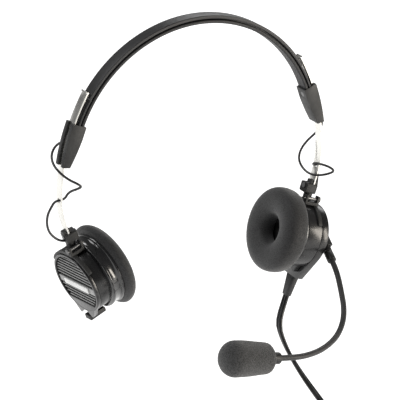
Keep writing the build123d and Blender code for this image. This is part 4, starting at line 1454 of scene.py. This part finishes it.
class HEADSET_OT_boom(bpy.types.Operator):
    """Builds the boom's housing, its swivel arm, clip and ferrule, and the cord's boot"""

    bl_idname = "headset.boom"
    bl_label = "Boom mount"

    def execute(self, context):
        eased("boom_housing", edges().case, gloss_black())
        eased("housing_back_plate", edges().clevis, matte_black())
        eased("boom_swivel", edges().case, matte_black())
        eased("boom_clip", edges().clevis, matte_black())
        eased("boom_ferrule", edges().clevis, matte_black())
        eased("cord_boot", edges().case, soft_rubber())
        return {"FINISHED"}


class HEADSET_OT_microphone(bpy.types.Operator):
    """Builds the gooseneck, the microphone's collar and its foam windscreen"""

    bl_idname = "headset.microphone"
    bl_label = "Microphone"

    def execute(self, context):
        line = smooth_line(NECK_ROUTE, 12)
        bm = tube(line, NECK_DIAMETER / 2, 20)
        neck = piece(
            "gooseneck", bm, soft_rubber(), None, ("gooseneck_lower", "gooseneck_upper")
        )
        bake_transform(neck)
        eased("mic_collar", edges().clevis, matte_black())
        foam = piece("foam_windscreen", windscreen(), foam_black(), "mic_end", ("windscreen",))
        return {"FINISHED"}


class HEADSET_OT_wires(bpy.types.Operator):
    """Draws the thin speaker wires from the blocks to the phones"""

    bl_idname = "headset.wires"
    bl_label = "Speaker wires"

    def execute(self, context):
        for side in SIDES:
            lead_wire(side)
        return {"FINISHED"}


class HEADSET_OT_cord(bpy.types.Operator):
    """Draws the twin cord, its splitter, the two tails and their plugs"""

    bl_idname = "headset.cord"
    bl_label = "Cord and plugs"

    def execute(self, context):
        eased("cord_splitter", edges().plug, satin_black())
        for name in PLUG_ENDS:
            eased(name, edges().plug, satin_black())
            tail(name)
        main_cord()
        return {"FINISHED"}


class HEADSET_OT_finishes(bpy.types.Operator):
    """Gives every small frame piece that still shows its own finish"""

    bl_idname = "headset.finishes"
    bl_label = "Small parts' finishes"

    def execute(self, context):
        for node, made in frame["nodes"].items():
            made.data.materials.clear()
            finish = pin_steel if node in DULL_PINS else FINISHES[NODE_SLOT[node]]
            made.data.materials.append(finish())
        return {"FINISHED"}


# ---- stage -------------------------------------------------------------------------------------
CAMERA_TARGET = Vector((4.9, 0.0, -115.1)) * MM
CAMERA_TURN = math.radians(-30.3)
CAMERA_RISE = math.radians(21.8)
CAMERA_ROLL = math.radians(1.2)
CAMERA_DISTANCE = 1.213
CAMERA_LENS = 175.8
FLOOR_REACH = 9.0
FLOOR_GLOW = 0.62


def camera_axes():
    turn, rise, roll = CAMERA_TURN, CAMERA_RISE, CAMERA_ROLL
    back = Vector((math.sin(turn) * math.cos(rise), -math.cos(turn) * math.cos(rise), math.sin(rise)))
    right = Vector((math.cos(turn), math.sin(turn), 0))
    up = back.cross(right)
    return (
        right * math.cos(roll) + up * math.sin(roll),
        up * math.cos(roll) - right * math.sin(roll),
        back,
    )


def soft_light(name, place, aim, size, power, colour):
    data = bpy.data.lights.new(name, "AREA")
    data.shape = "RECTANGLE"
    data.size, data.size_y = size
    data.energy = power
    data.color = colour
    lamp = bpy.data.objects.new(name, data)
    lamp.location = place
    lamp.rotation_euler = (Vector(aim) - Vector(place)).to_track_quat("-Z", "Y").to_euler()
    lamp.visible_camera = False
    bpy.context.scene.collection.objects.link(lamp)


def floor_finish():
    base = colours().floor
    made = finish_of(
        "Pale Floor", base, shade(base, 0.985), "Moulded Grain", {"Scale": 40.0, "Smudge": 1.5},
        0.01 * MM, (0.75, 0.85), {"Specular IOR Level": 0.2, "Emission Strength": FLOOR_GLOW},
    )
    made.node_tree.nodes["Principled BSDF"].inputs["Emission Color"].default_value = (1.0, 1.0, 1.0, 1.0)
    return made


class HEADSET_OT_stage(bpy.types.Operator):
    """Sets up the pale floor, the soft studio lights, the sky and the camera"""

    bl_idname = "headset.stage"
    bl_label = "Stage"

    def execute(self, context):
        scene = context.scene
        bm = bmesh.new()
        bmesh.ops.create_grid(bm, x_segments=6, y_segments=6, size=FLOOR_REACH)
        bmesh.ops.translate(bm, verts=bm.verts, vec=(0, 0, FLOOR))
        piece("studio_floor", bm, floor_finish(), None)

        world = scene.world or bpy.data.worlds.new("Studio")
        scene.world = world
        world.use_nodes = True
        tree = world.node_tree
        sky = tree.nodes["Background"]
        sky.inputs["Color"].default_value = (1.0, 1.0, 1.0, 1.0)
        sky.inputs["Strength"].default_value = WORLD_STRENGTH
        paper = tree.nodes.new("ShaderNodeBackground")
        paper.inputs["Color"].default_value = (1.0, 1.0, 1.0, 1.0)
        mix = tree.nodes.new("ShaderNodeMixShader")
        ray = tree.nodes.new("ShaderNodeLightPath")
        tree.links.new(ray.outputs["Is Camera Ray"], mix.inputs["Fac"])
        tree.links.new(sky.outputs["Background"], mix.inputs[1])
        tree.links.new(paper.outputs["Background"], mix.inputs[2])
        tree.links.new(mix.outputs["Shader"], tree.nodes["World Output"].inputs["Surface"])

        right, up, back = camera_axes()
        aim = CAMERA_TARGET
        for name, (across, rise, near), size, power, colour in LIGHTS:
            soft_light(name, aim + right * across + up * rise + back * near, aim, size, power, colour)

        data = bpy.data.cameras.new("Camera")
        data.sensor_width = 36.0
        data.lens = CAMERA_LENS
        data.clip_end = 50.0
        camera = bpy.data.objects.new("Camera", data)
        camera.matrix_world = (
            Matrix.Translation(aim + back * CAMERA_DISTANCE)
            @ Matrix((right, up, back)).transposed().to_4x4()
        )
        scene.collection.objects.link(camera)
        scene.camera = camera
        scene.view_settings.view_transform = "Standard"
        return {"FINISHED"}


WORLD_STRENGTH = 0.16
LIGHTS = (
    ("key_light", (-1.1, 1.4, 0.6), (1.3, 1.0), 20.0, (1.0, 1.0, 1.0)),
    ("case_light", (0.93, -0.02, 0.29), (0.3, 0.5), 5.5, (1.0, 0.93, 0.83)),
    ("rim_light", (0.5, 1.6, -1.2), (1.4, 0.7), 12.0, (1.0, 1.0, 1.0)),
)


# ---- panel and registration --------------------------------------------------------------------
STEPS = (
    HEADSET_OT_headband,
    HEADSET_OT_blocks,
    HEADSET_OT_sliders,
    HEADSET_OT_phones,
    HEADSET_OT_cushions,
    HEADSET_OT_boom,
    HEADSET_OT_microphone,
    HEADSET_OT_wires,
    HEADSET_OT_cord,
    HEADSET_OT_finishes,
    HEADSET_OT_stage,
)


class HEADSET_PT_panel(bpy.types.Panel):
    """Lists the headset's pieces and their sizes and colours"""

    bl_label = "Aviation Headset"
    bl_idname = "HEADSET_PT_panel"
    bl_space_type = "VIEW_3D"
    bl_region_type = "UI"
    bl_category = "Headset"

    def draw(self, context):
        layout = self.layout
        for step in STEPS:
            layout.operator(step.bl_idname)
        for name, kind in SETTINGS.items():
            box = layout.box()
            values = getattr(context.scene, name)
            for setting in kind.__annotations__:
                box.prop(values, setting)


CLASSES = (*SETTINGS.values(), *STEPS, HEADSET_PT_panel)


def register():
    for kind in CLASSES:
        bpy.utils.register_class(kind)
    for name, kind in SETTINGS.items():
        setattr(bpy.types.Scene, name, bpy.props.PointerProperty(type=kind))


def unregister():
    for name in SETTINGS:
        delattr(bpy.types.Scene, name)
    for kind in reversed(CLASSES):
        bpy.utils.unregister_class(kind)


def main():
    register()
    bpy.ops.headset.finishes()
    bpy.ops.headset.headband()
    bpy.ops.headset.blocks()
    bpy.ops.headset.sliders()
    bpy.ops.headset.phones()
    bpy.ops.headset.cushions()
    bpy.ops.headset.boom()
    bpy.ops.headset.microphone()
    bpy.ops.headset.wires()
    bpy.ops.headset.cord()
    bpy.ops.headset.stage()


if __name__ == "__main__":
    main()
